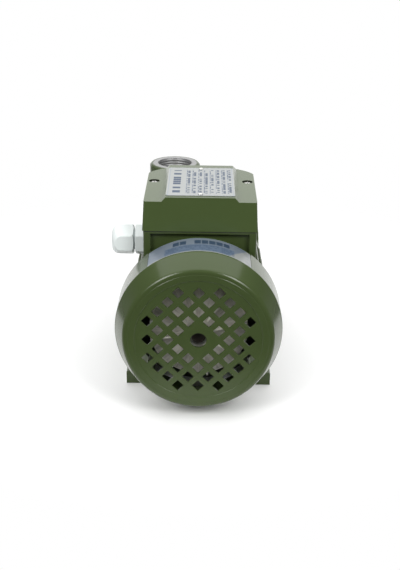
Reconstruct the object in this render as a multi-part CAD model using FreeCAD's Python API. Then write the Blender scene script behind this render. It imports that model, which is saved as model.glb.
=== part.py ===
import FreeCAD, Part
import math
import os

# Peripheral pump with its own motor.  Millimetres, +Z up, shaft along Y, fan cover towards -Y.
# The origin is the centre of the four foot holes, in the plane the feet stand on.
# Heights called "rise" are measured up from the shaft axis.

# ---- overall ----
shaft_height = 68.5
foot_hole_across = 100.0
foot_hole_along = 80.0
foot_hole_radius = 3.5
foot_width = 118.5
foot_length = 96.5
foot_thickness = 11.0
foot_leg_width = 13.0

# ---- motor housing ----
housing_rear = -57.0
housing_front = 50.0
stator_radius = 43.5
barrel_wall = 4.5
flange_radius = 54.0
flange_width = 6.0
fin_radius = 55.0
fin_thickness = 2.2
fin_count = 32
tie_bolt_circle = 49.5
tie_boss_radius = 4.9
tie_bolt_radius = 2.5
tie_head_radius = 4.4
tie_head_height = 4.0
lead_hole_radius = 5.0

# ---- fan cover ----
cover_radius = 64.1
cover_wall = 2.0
cover_depth = 50.0
cover_face_radius = 56.4
cover_flare_depth = 18.3
cover_step = 0.5
cover_edge_round = 3.0
cover_panel_radius = 48.0
cover_panel_sink = 0.5
grille_pitch = 7.66
grille_half_diagonal = 4.6
grille_reach = 29
grille_centre_radius = 6.0
label_half_angle = 37.5
label_depth = 0.4
label_length = 28.0
cover_screw_radius = 1.5
cover_screw_head = 3.2
cover_screw_angles = (200.0, 270.0, 340.0)
cover_lug_width = 9.0
cover_lug_length = 7.0

# ---- shaft line ----
fan_seat_radius = 5.5
rear_seat_radius = 6.0
core_seat_radius = 8.5
front_seat_radius = 7.5
pump_seat_radius = 6.0
core_length = 55.0
core_centre = -1.5
air_gap = 0.35
rotor_radius = stator_radius / 2 + 0.9
winding_overhang = 15.0
slot_count = 16
slot_width = 5.0
slot_inner = rotor_radius + air_gap + 3.0
slot_outer = stator_radius - 7.5
end_ring_length = 6.0
end_ring_radius = rotor_radius - 1.65
end_ring_bore = 13.0

# ---- fan ----
fan_radius = 38.0
fan_hub_radius = 10.0
fan_back = 85.0
fan_plate = 1.8
fan_blade_height = 9.0
fan_blade_thickness = 1.6
fan_blade_count = 8

# ---- bearings: outer radius, width, ball radius, ball count ----
rear_bearing_outer = 16.0
rear_bearing_width = 10.0
rear_ball_radius = 3.0
rear_ball_count = 7
front_bearing_outer = 17.5
front_bearing_width = 11.0
front_ball_radius = 3.0
front_ball_count = 8
bearing_inset = 3.0
washer_thickness = 0.6

# ---- pump end ----
bracket_flange = 8.0
bracket_length = 18.0
bracket_radius = 51.0
spigot_radius = 40.0
spigot_length = 3.4
impeller_radius = 32.0
impeller_width = 8.0
impeller_hub_radius = 12.0
vane_count = 30
vane_slot_width = 3.0
vane_inner = 26.5
vane_depth = 2.6
channel_inner = 25.5
channel_outer = 36.0
channel_side = 3.0
stripper_angle = 64.0
casing_flange = 10.0
casing_radius = 39.5
casing_reach = 132.0
casing_bolt_circle = 45.0
casing_bolt_radius = 3.0
casing_bolt_head = 5.0
casing_bolt_angles = (60.0, 190.0, 255.0, 320.0)
port_station = 90.0
port_bore_radius = 15.15
port_thread_depth = 16.0
port_boss_radius = 22.4
port_boss_chamfer = 1.6
outlet_offset = -23.8
outlet_rise = 81.3
inlet_reach = 53.0
passage_radius = 12.0
window_radius = 4.5
plug_radius = 6.5
drain_radius = 4.9
seal_bore_radius = 13.0
seal_seat_length = 5.0
seal_ring_radius = 11.0
key_size = 4.0

# ---- terminal box ----
box_width = 88.4
box_front = -49.0
box_length = 92.0
box_wall = 2.8
box_floor = 3.0
box_top_rise = 64.7
box_skirt_rise = 34.0
box_back_round = 16.0
pocket_half_width = 38.6
pocket_top_rise = 63.2
pocket_depth = 4.0
gasket_thickness = 1.0
lid_overhang = 0.8
lid_draft = 1.3
lid_wall = 2.5
shoulder_rise = 89.5
plateau_rise = 93.0
plateau_half_width = 27.6
plateau_slope = 3.1
lid_screw_offset = 38.0
lid_screw_station = 6.0
lid_screw_radius = 2.0
lid_screw_head = 3.7
lid_recess_radius = 4.35
lid_recess_depth = 4.5
nameplate_width = 53.6
nameplate_start = 3.8
nameplate_length = 76.0
nameplate_thickness = 0.6
rivet_radius = 1.8
gland_station = -22.0
gland_rise = 48.8
gland_thread_radius = 9.2
gland_flat_radius = 11.0
gland_collar = 7.6
gland_gap = 1.4
gland_nut_length = 17.5
gland_cable_radius = 3.5
gland_tip_radius = 5.2
terminal_share = -16.0 / 88.4
capacitor_share = 18.0 / 88.4
earth_share = -30.0 / 88.4
capacitor_radius = 12.5
capacitor_length = 56.0

# ---- fits ----
running = 0.05
slip = 0.05
clear = 0.3
face_gap = 0.05

V = FreeCAD.Vector
UP = V(0, 0, 1)
ALONG = V(0, 1, 0)
ACROSS = V(1, 0, 0)


def spot(x, y, rise):
    return V(x, y, shaft_height + rise)


def rod(radius, start, end, x=0.0, rise=0.0):
    return Part.makeCylinder(radius, end - start, spot(x, start, rise), ALONG)


def post(radius, low, high, x, y):
    return Part.makeCylinder(radius, high - low, spot(x, y, low), UP)


def bar(radius, start, end, y, rise):
    return Part.makeCylinder(radius, end - start, spot(start, y, rise), ACROSS)


def block(x0, x1, y0, y1, low, high):
    return Part.makeBox(x1 - x0, y1 - y0, high - low, spot(x0, y0, low))


def turned(profile):
    points = [spot(radius, y, 0) for radius, y in profile]
    face = Part.Face(Part.makePolygon(points + points[:1]))
    return face.revolve(spot(0, 0, 0), ALONG, 360)


def ring(outer, inner, start, end):
    return turned([(inner, start), (outer, start), (outer, end), (inner, end)])


def slice_about_shaft(outer, inner, start, end, from_angle, sweep):
    points = [spot(r, y, 0) for r, y in [(inner, start), (outer, start), (outer, end), (inner, end)]]
    face = Part.Face(Part.makePolygon(points + points[:1]))
    shape = face.revolve(spot(0, 0, 0), ALONG, -sweep)
    return about_shaft(shape, from_angle)


def about_shaft(shape, angle):
    turned_copy = shape.copy()
    turned_copy.rotate(spot(0, 0, 0), ALONG, -angle)
    return turned_copy


def hexagon(flat_radius, length, base, direction):
    corner = flat_radius / math.cos(math.pi / 6)
    points = []
    for step in range(6):
        angle = math.radians(60 * step + 30)
        points.append(V(corner * math.cos(angle), corner * math.sin(angle), 0))
    prism = Part.Face(Part.makePolygon(points + points[:1])).extrude(V(0, 0, length))
    prism.Placement = FreeCAD.Placement(base, FreeCAD.Rotation(UP, direction))
    return prism


def joined(shapes):
    result = shapes[0].fuse(shapes[1:])
    return result.removeSplitter()


def soften(shape, size, wanted, chamfer=False):
    edges = [edge for edge in shape.Edges if wanted(edge)]
    return shape.makeChamfer(size, edges) if chamfer else shape.makeFillet(size, edges)


def circle_at(edge, radius, station):
    curve = edge.Curve
    if not isinstance(curve, Part.Circle):
        return False
    return abs(curve.Radius - radius) < 0.01 and abs(curve.Center.y - station) < 0.01


def along_z(edge):
    ends = [vertex.Point for vertex in edge.Vertexes]
    return len(ends) == 2 and abs(ends[0].x - ends[1].x) < 0.01 and abs(ends[0].y - ends[1].y) < 0.01


# ---- values that follow from the sizes above ----
barrel_radius = stator_radius + barrel_wall
cover_face = housing_rear - cover_depth
cover_inside = cover_radius - cover_wall
rear_plate = housing_rear - 7.0
rear_bearing_end = housing_rear - bearing_inset
rear_bearing_start = rear_bearing_end - rear_bearing_width
front_bearing_end = housing_front + 4.0
front_bearing_start = front_bearing_end - front_bearing_width
bracket_face = housing_front + bracket_length
spigot_face = bracket_face + spigot_length
impeller_start = spigot_face + clear
impeller_end = impeller_start + impeller_width
casing_floor = impeller_end + clear
shaft_end = casing_floor + 3.0
fan_station = -fan_back
stator_bore = rotor_radius + air_gap
core_start = core_centre - core_length / 2
core_end = core_centre + core_length / 2
box_back = box_front + box_length
lid_bottom = box_top_rise + gasket_thickness


# ---- bearings ----
def bearing(inner, outer, start, width, ball_radius, ball_count):
    middle = start + width / 2
    pitch = (inner + outer) / 2
    land = ball_radius * 0.55
    track = Part.makeTorus(pitch, ball_radius + running, spot(0, middle, 0), ALONG)
    inner_race = ring(pitch - land, inner + slip, start, start + width).cut(track)
    outer_race = ring(outer - slip, pitch + land, start, start + width).cut(track)
    cage = ring(pitch + 0.5, pitch - 0.5, middle - ball_radius - 0.8, middle + ball_radius + 0.8)
    balls = []
    pockets = []
    for step in range(ball_count):
        angle = 360.0 * step / ball_count
        ball = Part.makeSphere(ball_radius, spot(pitch, middle, 0))
        balls.append(about_shaft(ball, angle))
        pockets.append(about_shaft(bar(ball_radius + running, pitch - 2, pitch + 2, middle, 0), angle))
    return inner_race, outer_race, Part.makeCompound(balls), cage.cut(pockets)


# ---- fan cover ----
def fan_cover():
    flare = cover_face + cover_flare_depth
    outside = [(0, cover_face), (cover_face_radius, cover_face),
               (cover_radius - cover_step, flare), (cover_radius, flare + cover_step),
               (cover_radius, housing_rear)]
    inside = [(cover_inside, housing_rear), (cover_inside, flare + cover_wall),
              (cover_face_radius - cover_wall * 0.8, cover_face + cover_wall),
              (0, cover_face + cover_wall)]
    shell = turned(outside + inside)
    rim = lambda edge: circle_at(edge, cover_face_radius, cover_face)
    shell = soften(shell, cover_edge_round, rim)
    sunk = cover_face + cover_panel_sink
    panel = turned([(0, cover_face - 1), (cover_panel_radius + 0.5, cover_face - 1),
                    (cover_panel_radius + 0.5, cover_face), (cover_panel_radius, sunk), (0, sunk)])
    cutters = [panel, rod(grille_centre_radius, cover_face - 1, cover_face + cover_wall + 1)]
    cutters += grille_holes()
    cutters.append(label_slab(cover_radius + 1, 0.0))
    for angle in cover_screw_angles:
        hole = bar(cover_screw_radius + slip, 0, cover_radius + 2, screw_station(), 0)
        cutters.append(about_shaft(hole, angle))
    return shell.cut(cutters)


def grille_holes():
    holes = []
    reach = int(math.sqrt(grille_reach)) + 1
    for column in range(-reach, reach + 1):
        for row in range(-reach, reach + 1):
            far = column * column + row * row > grille_reach
            near = abs(column) + abs(row) <= 1
            if (column + row) % 2 == 0 or far or near:
                continue
            holes.append(diamond(column * grille_pitch, row * grille_pitch))
    return holes


def diamond(x, rise):
    size = grille_half_diagonal
    corners = [(x + size, rise), (x, rise + size), (x - size, rise), (x, rise - size)]
    points = [spot(a, cover_face - 1, b) for a, b in corners]
    face = Part.Face(Part.makePolygon(points + points[:1]))
    return face.extrude(V(0, cover_wall + 2, 0))


def label_slab(outer, trim):
    start = housing_rear - 2.0 - label_length + trim
    end = housing_rear - 2.0 - trim
    inner = cover_radius - label_depth
    sweep = 2 * label_half_angle - 2 * math.degrees(trim / inner)
    return slice_about_shaft(outer, inner, start, end, 90 - sweep / 2, sweep)


def cover_label():
    return label_slab(cover_radius - 0.05, 0.15)


def screw_station():
    return housing_rear - 4.5


def cover_screws():
    screws = []
    for angle in cover_screw_angles:
        shank = bar(cover_screw_radius, cover_inside - 6, cover_radius + 0.1, screw_station(), 0)
        head = bar(cover_screw_head, cover_radius, cover_radius + 1.8, screw_station(), 0)
        middle = screw_station()
        slot = block(cover_radius + 0.9, cover_radius + 3, middle - 5, middle + 5, -0.4, 0.4)
        screws.append(about_shaft(joined([shank, head]).cut(slot), angle))
    return Part.makeCompound(screws)


# ---- rear end shield ----
def rear_shield():
    hub = rear_bearing_outer + 4.0
    shoulder = rear_bearing_outer - 3.0
    back = rear_bearing_start - washer_thickness - 2.0
    outside = [(rear_seat_radius + 1.0, back), (hub, back), (hub, rear_plate),
               (flange_radius, rear_plate), (flange_radius, housing_rear),
               (stator_radius - slip, housing_rear), (stator_radius - slip, housing_rear + 5.0),
               (stator_radius - 3.5, housing_rear + 5.0), (stator_radius - 3.5, housing_rear - 3.0),
               (hub, housing_rear - 3.0), (hub, rear_bearing_end)]
    bore = [(rear_bearing_outer, rear_bearing_end), (rear_bearing_outer, back + 2.0),
            (rear_seat_radius + 1.0, back + 2.0)]
    shapes = [turned(outside + bore)]
    for angle in cover_screw_angles + (90.0,):
        reach = cover_inside - slip
        half = cover_lug_width / 2
        middle = screw_station()
        start = middle - 2.5
        lug = block(flange_radius - 4, reach + 2, start, start + cover_lug_length, -half, half)
        lug = lug.common(rod(reach, middle - 3, housing_rear))
        shapes.append(about_shaft(lug, angle))
    shield = joined(shapes)
    cutters = tie_holes(tie_bolt_radius + slip * 2, rear_plate - 1, housing_rear + 1)
    for angle in cover_screw_angles:
        hole = bar(cover_screw_radius, flange_radius - 1, cover_radius, screw_station(), 0)
        cutters.append(about_shaft(hole, angle))
    return shield.cut(cutters)


def tie_holes(radius, start, end):
    hole = rod(radius, start, end, tie_bolt_circle, 0)
    return [about_shaft(hole, angle) for angle in (45, 135, 225, 315)]


def tie_bolts():
    bolts = []
    base = spot(tie_bolt_circle, rear_plate, 0)
    head = hexagon(tie_head_radius, tie_head_height, base - V(0, tie_head_height, 0), ALONG)
    shank = rod(tie_bolt_radius, rear_plate, housing_front + bracket_flange - 1.0, tie_bolt_circle, 0)
    bolt = joined([head, shank])
    for angle in (45, 135, 225, 315):
        bolts.append(about_shaft(bolt, angle))
    return Part.makeCompound(bolts)


# ---- motor housing with its feet ----
def motor_housing():
    shapes = [ring(barrel_radius, stator_radius - 2, housing_rear, housing_front)]
    shapes.append(ring(flange_radius, stator_radius - 2, housing_rear, housing_rear + flange_width))
    shapes.append(ring(flange_radius, stator_radius - 2, housing_front - flange_width, housing_front))
    shapes += tie_holes(tie_boss_radius, housing_rear, housing_front)
    shapes += fins()
    shapes.append(box_seat())
    shapes += [foot(1), foot(-1)]
    cutters = [rod(stator_radius, housing_rear - 1, housing_front + 1)]
    cutters += tie_holes(tie_bolt_radius + slip * 2, housing_rear - 1, housing_front + 1)
    for x in (-foot_hole_across / 2, foot_hole_across / 2):
        for y in (-foot_hole_along / 2, foot_hole_along / 2):
            cutters.append(Part.makeCylinder(foot_hole_radius, foot_thickness + 4, V(x, y, -2)))
    cutters.append(post(lead_hole_radius, stator_radius - 5, fin_radius + 1, 0, lead_station()))
    for y in floor_screw_stations():
        cutters.append(post(1.95, fin_radius - 5.5, fin_radius + 1, 0, y))
    return joined(shapes).cut(cutters)


def fins():
    shapes = []
    start = housing_rear + flange_width - 1
    end = housing_front - flange_width + 1
    for step in range(fin_count):
        angle = 360.0 * (step + 0.5) / fin_count
        reach = abs(fin_radius * math.cos(math.radians(angle)))
        rise = fin_radius * math.sin(math.radians(angle))
        beside_gland = rise > gland_rise - 2 * gland_flat_radius / math.sqrt(3) - 1.0
        if angle < 180 and (beside_gland or reach < box_width / 2 + fin_thickness):
            continue
        half = fin_thickness / 2
        fin = block(barrel_radius - 1, fin_radius, start, end, -half, half)
        shapes.append(about_shaft(fin, angle))
    return shapes


def box_seat():
    half = box_width / 2 - box_wall - 1.0
    seat = ring(fin_radius, stator_radius - 2, box_front + 1.0, box_back - 1.0)
    return seat.common(block(-half, half, box_front, box_back, 0, fin_radius + 1))


def foot(side):
    outer = foot_width / 2
    inner = foot_hole_across / 2 - foot_leg_width
    top = foot_thickness - shaft_height
    meet = -math.sqrt(barrel_radius ** 2 - inner ** 2) + 1.5
    corners = [(inner, -shaft_height), (outer, -shaft_height), (outer, top - 1.0), (outer - 1.0, top),
               (inner + 6.5, top), (inner + 4.5, top + 3.0), (inner + 4.5, meet + 6.0), (inner, meet + 1.0)]
    points = [spot(side * x, -foot_length / 2, rise) for x, rise in corners]
    face = Part.Face(Part.makePolygon(points + points[:1]))
    return face.extrude(V(0, foot_length, 0))


def lead_station():
    return core_end + winding_overhang / 2 + 1.0


def floor_screw_stations():
    return (box_front + 14.0, lead_station() - 22.0)


# ---- stator and rotor ----
def stator_core():
    core = ring(stator_radius - slip, stator_bore, core_start, core_end)
    half = slot_width / 2
    slots = []
    for step in range(slot_count):
        slot = block(slot_inner, slot_outer, core_start - 1, core_end + 1, -half, half)
        slots.append(about_shaft(slot, 360.0 * step / slot_count))
    return core.cut(slots)


def stator_windings():
    half = slot_width / 2 - 0.2
    shapes = []
    for side in (core_start - winding_overhang, core_end + 0.4):
        end_turns = ring(slot_outer + 1.5, slot_inner, side, side + winding_overhang - 0.4)
        end_turns = soften(end_turns, 3.0, lambda edge: isinstance(edge.Curve, Part.Circle))
        shapes.append(end_turns)
    for step in range(slot_count):
        strand = block(slot_inner + 0.2, slot_outer - 0.2, core_start - 4, core_end + 4, -half, half)
        shapes.append(about_shaft(strand, 360.0 * step / slot_count))
    return joined(shapes)


def rotor_core():
    return ring(rotor_radius, core_seat_radius + slip, core_start, core_end)


def rotor_end_rings():
    rings = []
    for side in (core_start - end_ring_length, core_end):
        rings.append(ring(end_ring_radius, end_ring_bore, side, side + end_ring_length))
    return Part.makeCompound(rings)


def shaft():
    tip = fan_tip() - 2.5
    profile = [(0, tip), (fan_seat_radius - 0.6, tip), (fan_seat_radius, tip + 0.6)]
    profile += groove(fan_seat_radius, fan_tip() - 1.05)
    profile += [(fan_seat_radius, rear_bearing_start - 2), (rear_seat_radius, rear_bearing_start - 2),
                (rear_seat_radius, rear_bearing_end), (front_seat_radius, rear_bearing_end),
                (front_seat_radius, core_start - 9), (core_seat_radius, core_start - 9),
                (core_seat_radius, front_bearing_start), (front_seat_radius, front_bearing_start),
                (front_seat_radius, front_bearing_end), (pump_seat_radius, front_bearing_end)]
    profile += groove(pump_seat_radius, impeller_end + 0.05)
    profile += [(pump_seat_radius, shaft_end - 0.6), (pump_seat_radius - 0.6, shaft_end), (0, shaft_end)]
    return turned(profile).cut(key_slab(0.05))


def groove(radius, start):
    return [(radius, start), (radius - 0.6, start), (radius - 0.6, start + 1.1), (radius, start + 1.1)]


def spring_ring(radius, start):
    clip = ring(radius + 2.2, radius - 0.55, start, start + 1.0)
    return clip.cut(block(0, radius + 4, start - 1, start + 2, -1.5, 1.5))


def key_slab(extra):
    half = key_size / 2 + extra
    start = impeller_start + 0.8 - extra
    end = impeller_end - 0.8 + extra
    return block(-half, half, start, end, pump_seat_radius - 1.8 - extra, pump_seat_radius + 1.6)


# ---- fan ----
def fan_tip():
    return fan_station - fan_plate - fan_blade_height - 1.0


def fan():
    shapes = [ring(fan_radius, fan_seat_radius + slip, fan_station - fan_plate, fan_station)]
    shapes.append(ring(fan_hub_radius, fan_seat_radius + slip, fan_tip(), fan_station + 5))
    shapes.append(ring(fan_radius, fan_radius - 1.6, fan_station - 0.5, fan_station + 3))
    front = fan_station - fan_plate - fan_blade_height
    half = fan_blade_thickness / 2
    for step in range(fan_blade_count):
        corners = [(fan_hub_radius - 1, front + 2), (fan_radius - 4, front), (fan_radius - 0.5, front + 3),
                   (fan_radius - 0.5, fan_station - 0.5), (fan_hub_radius - 1, fan_station - 0.5)]
        points = [spot(r, y, -half) for r, y in corners]
        blade = Part.Face(Part.makePolygon(points + points[:1])).extrude(V(0, 0, fan_blade_thickness))
        shapes.append(about_shaft(blade, 360.0 * step / fan_blade_count + 11))
    return joined(shapes)


# ---- pump end ----
def pump_bracket():
    hub = front_bearing_outer + 4.5
    deep = front_bearing_start
    outside = [(hub, deep), (hub, housing_front - 4), (stator_radius - slip, housing_front - 4),
               (stator_radius - slip, housing_front), (flange_radius, housing_front),
               (flange_radius, housing_front + bracket_flange),
               (bracket_radius, housing_front + bracket_flange + 1),
               (bracket_radius, bracket_face), (spigot_radius, bracket_face), (spigot_radius, spigot_face)]
    chamber = seal_ring_radius + 4.0
    seat_back = spigot_face - 5.4 - seal_seat_length
    bore = [(chamber, spigot_face), (chamber, seat_back + seal_seat_length),
            (seal_bore_radius, seat_back + seal_seat_length), (seal_bore_radius, seat_back),
            (pump_seat_radius + 0.8, seat_back), (pump_seat_radius + 0.8, seat_back - 2),
            (front_bearing_outer - 2.5, seat_back - 2), (front_bearing_outer - 2.5, front_bearing_end),
            (front_bearing_outer, front_bearing_end), (front_bearing_outer, deep)]
    body = turned(outside + bore)
    cutters = [channel(spigot_face - channel_side, spigot_face + 1, channel_outer)]
    cutters.append(ring(spigot_radius + 1, spigot_radius - 1.9, spigot_face - 2.9, spigot_face - 0.9))
    cutters += tie_holes(tie_bolt_radius, housing_front - 1, housing_front + bracket_flange)
    for angle in casing_bolt_angles:
        hole = rod(casing_bolt_radius, bracket_face - 9, bracket_face + 1, casing_bolt_circle, 0)
        cutters.append(about_shaft(hole, angle))
    cutters.append(block(-5, 5, front_bearing_end + 0.3, seat_back - 2, -bracket_radius - 9, -10))
    return body.cut(cutters)


def channel(start, end, outer):
    half = stripper_angle / 2
    return slice_about_shaft(outer, channel_inner, start, end, 90 + half, 360 - stripper_angle)


def slinger():
    start = front_bearing_end + 0.6
    profile = [(pump_seat_radius + slip, start), (front_bearing_outer - 5.5, start),
               (front_bearing_outer - 4.5, start + 1.6), (pump_seat_radius + 3, start + 2.2),
               (pump_seat_radius + slip, start + 2.2)]
    return turned(profile)


def seal_seat():
    start = spigot_face - 5.4 - seal_seat_length
    return ring(seal_bore_radius - slip, pump_seat_radius + 0.6, start, start + seal_seat_length)


def seal_ring():
    start = spigot_face - 5.4 + face_gap
    nose = seal_ring_radius - 1.2
    bore = pump_seat_radius + slip
    profile = [(bore, start), (nose, start), (nose, start + 1), (seal_ring_radius, start + 1),
               (seal_ring_radius, start + 2.6), (bore, start + 2.6)]
    return turned(profile)


def seal_spring():
    """Each half turn is a slanted arc, so its ends meet the next one squarely."""
    wire = 0.45
    turns = 2
    start = spigot_face - 5.4 + face_gap + 2.6 + wire
    rise = (impeller_start - wire - start) / (2 * turns)
    coil = pump_seat_radius + 2.4
    halves = []
    for step in range(2 * turns):
        side = (-1) ** step
        base = spot(side * coil, start + step * rise, 0)
        tip = spot(-side * coil, start + (step + 1) * rise, 0)
        section = Part.Face(Part.Wire([Part.makeCircle(wire, base, UP)]))
        axis = (tip - base).cross(UP) * side
        halves.append(section.revolve((base + tip) * 0.5, axis, 180))
    return joined(halves)


def impeller():
    wheel = ring(impeller_radius, pump_seat_radius + slip, impeller_start, impeller_end)
    recess = (impeller_hub_radius + 3, channel_inner - 3)
    cutters = [key_slab(0.05)]
    for start, end in ((impeller_start - 1, impeller_start + 1.4), (impeller_end - 1.4, impeller_end + 1)):
        cutters.append(ring(recess[1], recess[0], start, end))
    half = vane_slot_width / 2
    for step in range(vane_count):
        for start, end in vane_faces():
            slot = block(vane_inner, impeller_radius + 1, start, end, -half, half)
            cutters.append(about_shaft(slot, 360.0 * step / vane_count))
    return wheel.cut(cutters)


def vane_faces():
    rear = (impeller_start - 1, impeller_start + vane_depth)
    front = (impeller_end - vane_depth, impeller_end + 1)
    return rear, front


def casing_seal_ring():
    return Part.makeTorus(spigot_radius - 0.95, 0.95, spot(0, spigot_face - 1.9, 0), ALONG)


def boss_tip(radius, length):
    flat = Part.makeCylinder(radius, length)
    return flat.makeChamfer(port_boss_chamfer, [e for e in flat.Edges if e.BoundBox.ZMin > length - 0.01])


def pump_casing():
    front = casing_reach
    step = bracket_face + casing_flange
    barrel = turned([(0, bracket_face), (bracket_radius, bracket_face), (bracket_radius, step),
                     (casing_radius, step), (casing_radius, front - 10), (casing_radius - 4, front - 4),
                     (casing_radius - 12, front), (0, front)])
    outlet = boss_tip(port_boss_radius, outlet_rise - 15)
    outlet.Placement = FreeCAD.Placement(spot(outlet_offset, port_station, 15), FreeCAD.Rotation())
    inlet = boss_tip(port_boss_radius, inlet_reach - 10)
    inlet.Placement = FreeCAD.Placement(spot(10, port_station, 0), FreeCAD.Rotation(UP, ACROSS))
    shapes = [barrel, outlet, inlet]
    shapes.append(post(plug_radius + 3.5, 0, casing_radius + 4, plug_x(), plug_station()))
    shapes.append(post(drain_radius + 4, -casing_radius - 4, 0, drain_x(), drain_station()))
    body = joined(shapes)
    behind = block(-90, 90, bracket_face - 60, bracket_face, -60, bracket_radius + 0.5)
    return body.cut([behind] + casing_cavities())


def casing_cavities():
    start = bracket_face - 1
    tangent = window_spot(45)
    far = window_spot(135)
    cutters = [rod(spigot_radius + slip * 2, start, spigot_face + 0.1)]
    cutters.append(rod(impeller_radius + clear, start, casing_floor))
    cutters.append(channel(start, casing_floor + channel_side, channel_outer))
    cutters.append(rod(impeller_hub_radius + 1, start, shaft_end + 1))
    deep = port_station + 8
    cutters.append(bar(port_bore_radius, inlet_reach - port_thread_depth, inlet_reach + 1, port_station, 0))
    cutters.append(bar(passage_radius, tangent[0] - 12, inlet_reach - port_thread_depth + 1, deep, 0))
    cutters.append(post(9.0, 0, tangent[1] + 2, tangent[0], deep))
    cutters.append(rod(window_radius, casing_floor, deep, tangent[0], tangent[1]))
    low = outlet_rise - port_thread_depth
    cutters.append(post(port_bore_radius, low, outlet_rise + 1, outlet_offset, port_station))
    cutters.append(post(passage_radius, casing_radius - 1, low + 1, outlet_offset, port_station))
    cutters.append(post(8.0, far[1] - 2, casing_radius, far[0], port_station + 5))
    cutters.append(rod(window_radius, casing_floor, port_station + 5, far[0], far[1]))
    cutters.append(rod(plug_radius, port_station + 5, plug_station(), far[0], far[1]))
    cutters.append(bar(plug_radius, far[0], plug_x(), plug_station(), far[1]))
    cutters.append(post(plug_radius, far[1] - 2, casing_radius + 5, plug_x(), plug_station()))
    cutters.append(post(drain_radius, -casing_radius - 5, 0, drain_x(), drain_station()))
    through = bracket_face + casing_flange + 1
    for angle in casing_bolt_angles:
        hole = rod(casing_bolt_radius + clear, start, through, casing_bolt_circle, 0)
        cutters.append(about_shaft(hole, angle))
    return cutters


def window_spot(angle):
    middle = (channel_inner + channel_outer) / 2
    return middle * math.cos(math.radians(angle)), middle * math.sin(math.radians(angle))


def plug_x():
    return outlet_offset + port_boss_radius + 1.4


def plug_station():
    return port_station + port_boss_radius + 3.0


def drain_x():
    return window_spot(45)[0] - 3


def drain_station():
    return port_station + 8


def casing_bolts():
    head_base = bracket_face + casing_flange
    bolts = []
    for angle in casing_bolt_angles:
        shank = rod(casing_bolt_radius, bracket_face - 8, head_base, casing_bolt_circle, 0)
        head = hexagon(casing_bolt_head, 4.0, spot(casing_bolt_circle, head_base, 0), ALONG)
        bolts.append(about_shaft(joined([shank, head]), angle))
    return Part.makeCompound(bolts)


def plug(radius, head_radius, x, y, base, direction):
    start = spot(x, y, base)
    stem = Part.makeCylinder(radius - running, 9.0, start - direction * 9.0, direction)
    head = hexagon(head_radius, 5.0, start + direction, direction)
    neck = Part.makeCylinder(radius - running, 1.0, start, direction)
    return joined([stem, neck, head])


def washer_at(radius, x, y, base, direction):
    start = spot(x, y, base)
    disc = Part.makeCylinder(radius + 3.0, 1.0, start, direction)
    return disc.cut(Part.makeCylinder(radius, 3.0, start - direction, direction))


# ---- terminal box ----
def plan_block(grow, front, back, low, high, back_round):
    half = box_width / 2 + grow
    shape = block(-half, half, front, back, low, high)
    shape = soften(shape, back_round, lambda e: along_z(e) and e.BoundBox.YMin > 0)
    return soften(shape, 2.0, lambda e: along_z(e) and e.BoundBox.YMax < 0)


def box_base():
    outer = plan_block(0, box_front, box_back, box_skirt_rise, box_top_rise, box_back_round)
    cavity_front = box_front + pocket_depth + 2.0
    inner = plan_block(-box_wall, cavity_front, box_back - box_wall, box_skirt_rise - 1, box_top_rise + 1,
                       box_back_round - box_wall)
    inner = inner.cut(rod(fin_radius + box_floor, box_front - 1, box_back + 1))
    base = outer.cut([inner, rod(fin_radius, box_front - 1, box_back + 1)])
    base = base.cut(block(-pocket_half_width, pocket_half_width, box_front - 1, box_front + pocket_depth,
                          box_skirt_rise - 1, pocket_top_rise))
    posts = []
    for side in (-1, 1):
        column = post(4.2, box_skirt_rise, box_top_rise, side * post_x(), lid_screw_station)
        posts.append(column.cut(rod(fin_radius, box_front, box_back)))
    base = joined([base] + posts)
    cutters = [post(lead_hole_radius, fin_radius - 2, fin_radius + 9, 0, lead_station())]
    wall = -box_width / 2
    cutters.append(bar(gland_thread_radius, wall - 1, wall + box_wall + 4, gland_station, gland_rise))
    for side in (-1, 1):
        cutters.append(post(lid_screw_radius - 0.2, box_top_rise - 12, box_top_rise + 1,
                            side * lid_screw_offset, lid_screw_station))
    for y in floor_screw_stations():
        cutters.append(post(2.3, fin_radius - 2, fin_radius + 9, 0, y))
    return base.cut(cutters)


def post_x():
    return box_width / 2 - box_wall - 3.0


def floor_screws():
    screws = []
    for y in floor_screw_stations():
        top = fin_radius + box_floor
        head = post(3.6, top, top + 2.2, 0, y)
        screws.append(joined([head, post(1.9, fin_radius - 5, top, 0, y)]).cut(
            block(-0.4, 0.4, y - 5, y + 5, top + 1.2, top + 5)))
    return Part.makeCompound(screws)


def box_gasket():
    outer = plan_block(0, box_front, box_back, box_top_rise, lid_bottom, box_back_round)
    inner = plan_block(-box_wall, box_front + box_wall, box_back - box_wall, box_top_rise - 1,
                       lid_bottom + 1, box_back_round - box_wall)
    frame = outer.cut(inner)
    ears = []
    for side in (-1, 1):
        ears.append(post(4.2, box_top_rise, lid_bottom, side * post_x(), lid_screw_station))
    gasket = joined([frame] + ears)
    holes = [post(lid_screw_radius + 0.2, box_top_rise - 1, lid_bottom + 1, side * lid_screw_offset,
                  lid_screw_station) for side in (-1, 1)]
    return gasket.cut(holes)


def lid_profile(inset, front, back, low):
    half = box_width / 2 + lid_overhang - inset
    top = plateau_rise - inset
    shoulder = shoulder_rise - inset
    flat = plateau_half_width - inset * 0.4
    corners = [(half, low), (half - lid_draft, shoulder), (flat + plateau_slope, shoulder), (flat, top)]
    corners += [(-x, rise) for x, rise in reversed(corners)]
    points = [spot(x, front, rise) for x, rise in corners]
    return Part.Face(Part.makePolygon(points + points[:1])).extrude(V(0, back - front, 0))


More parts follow.
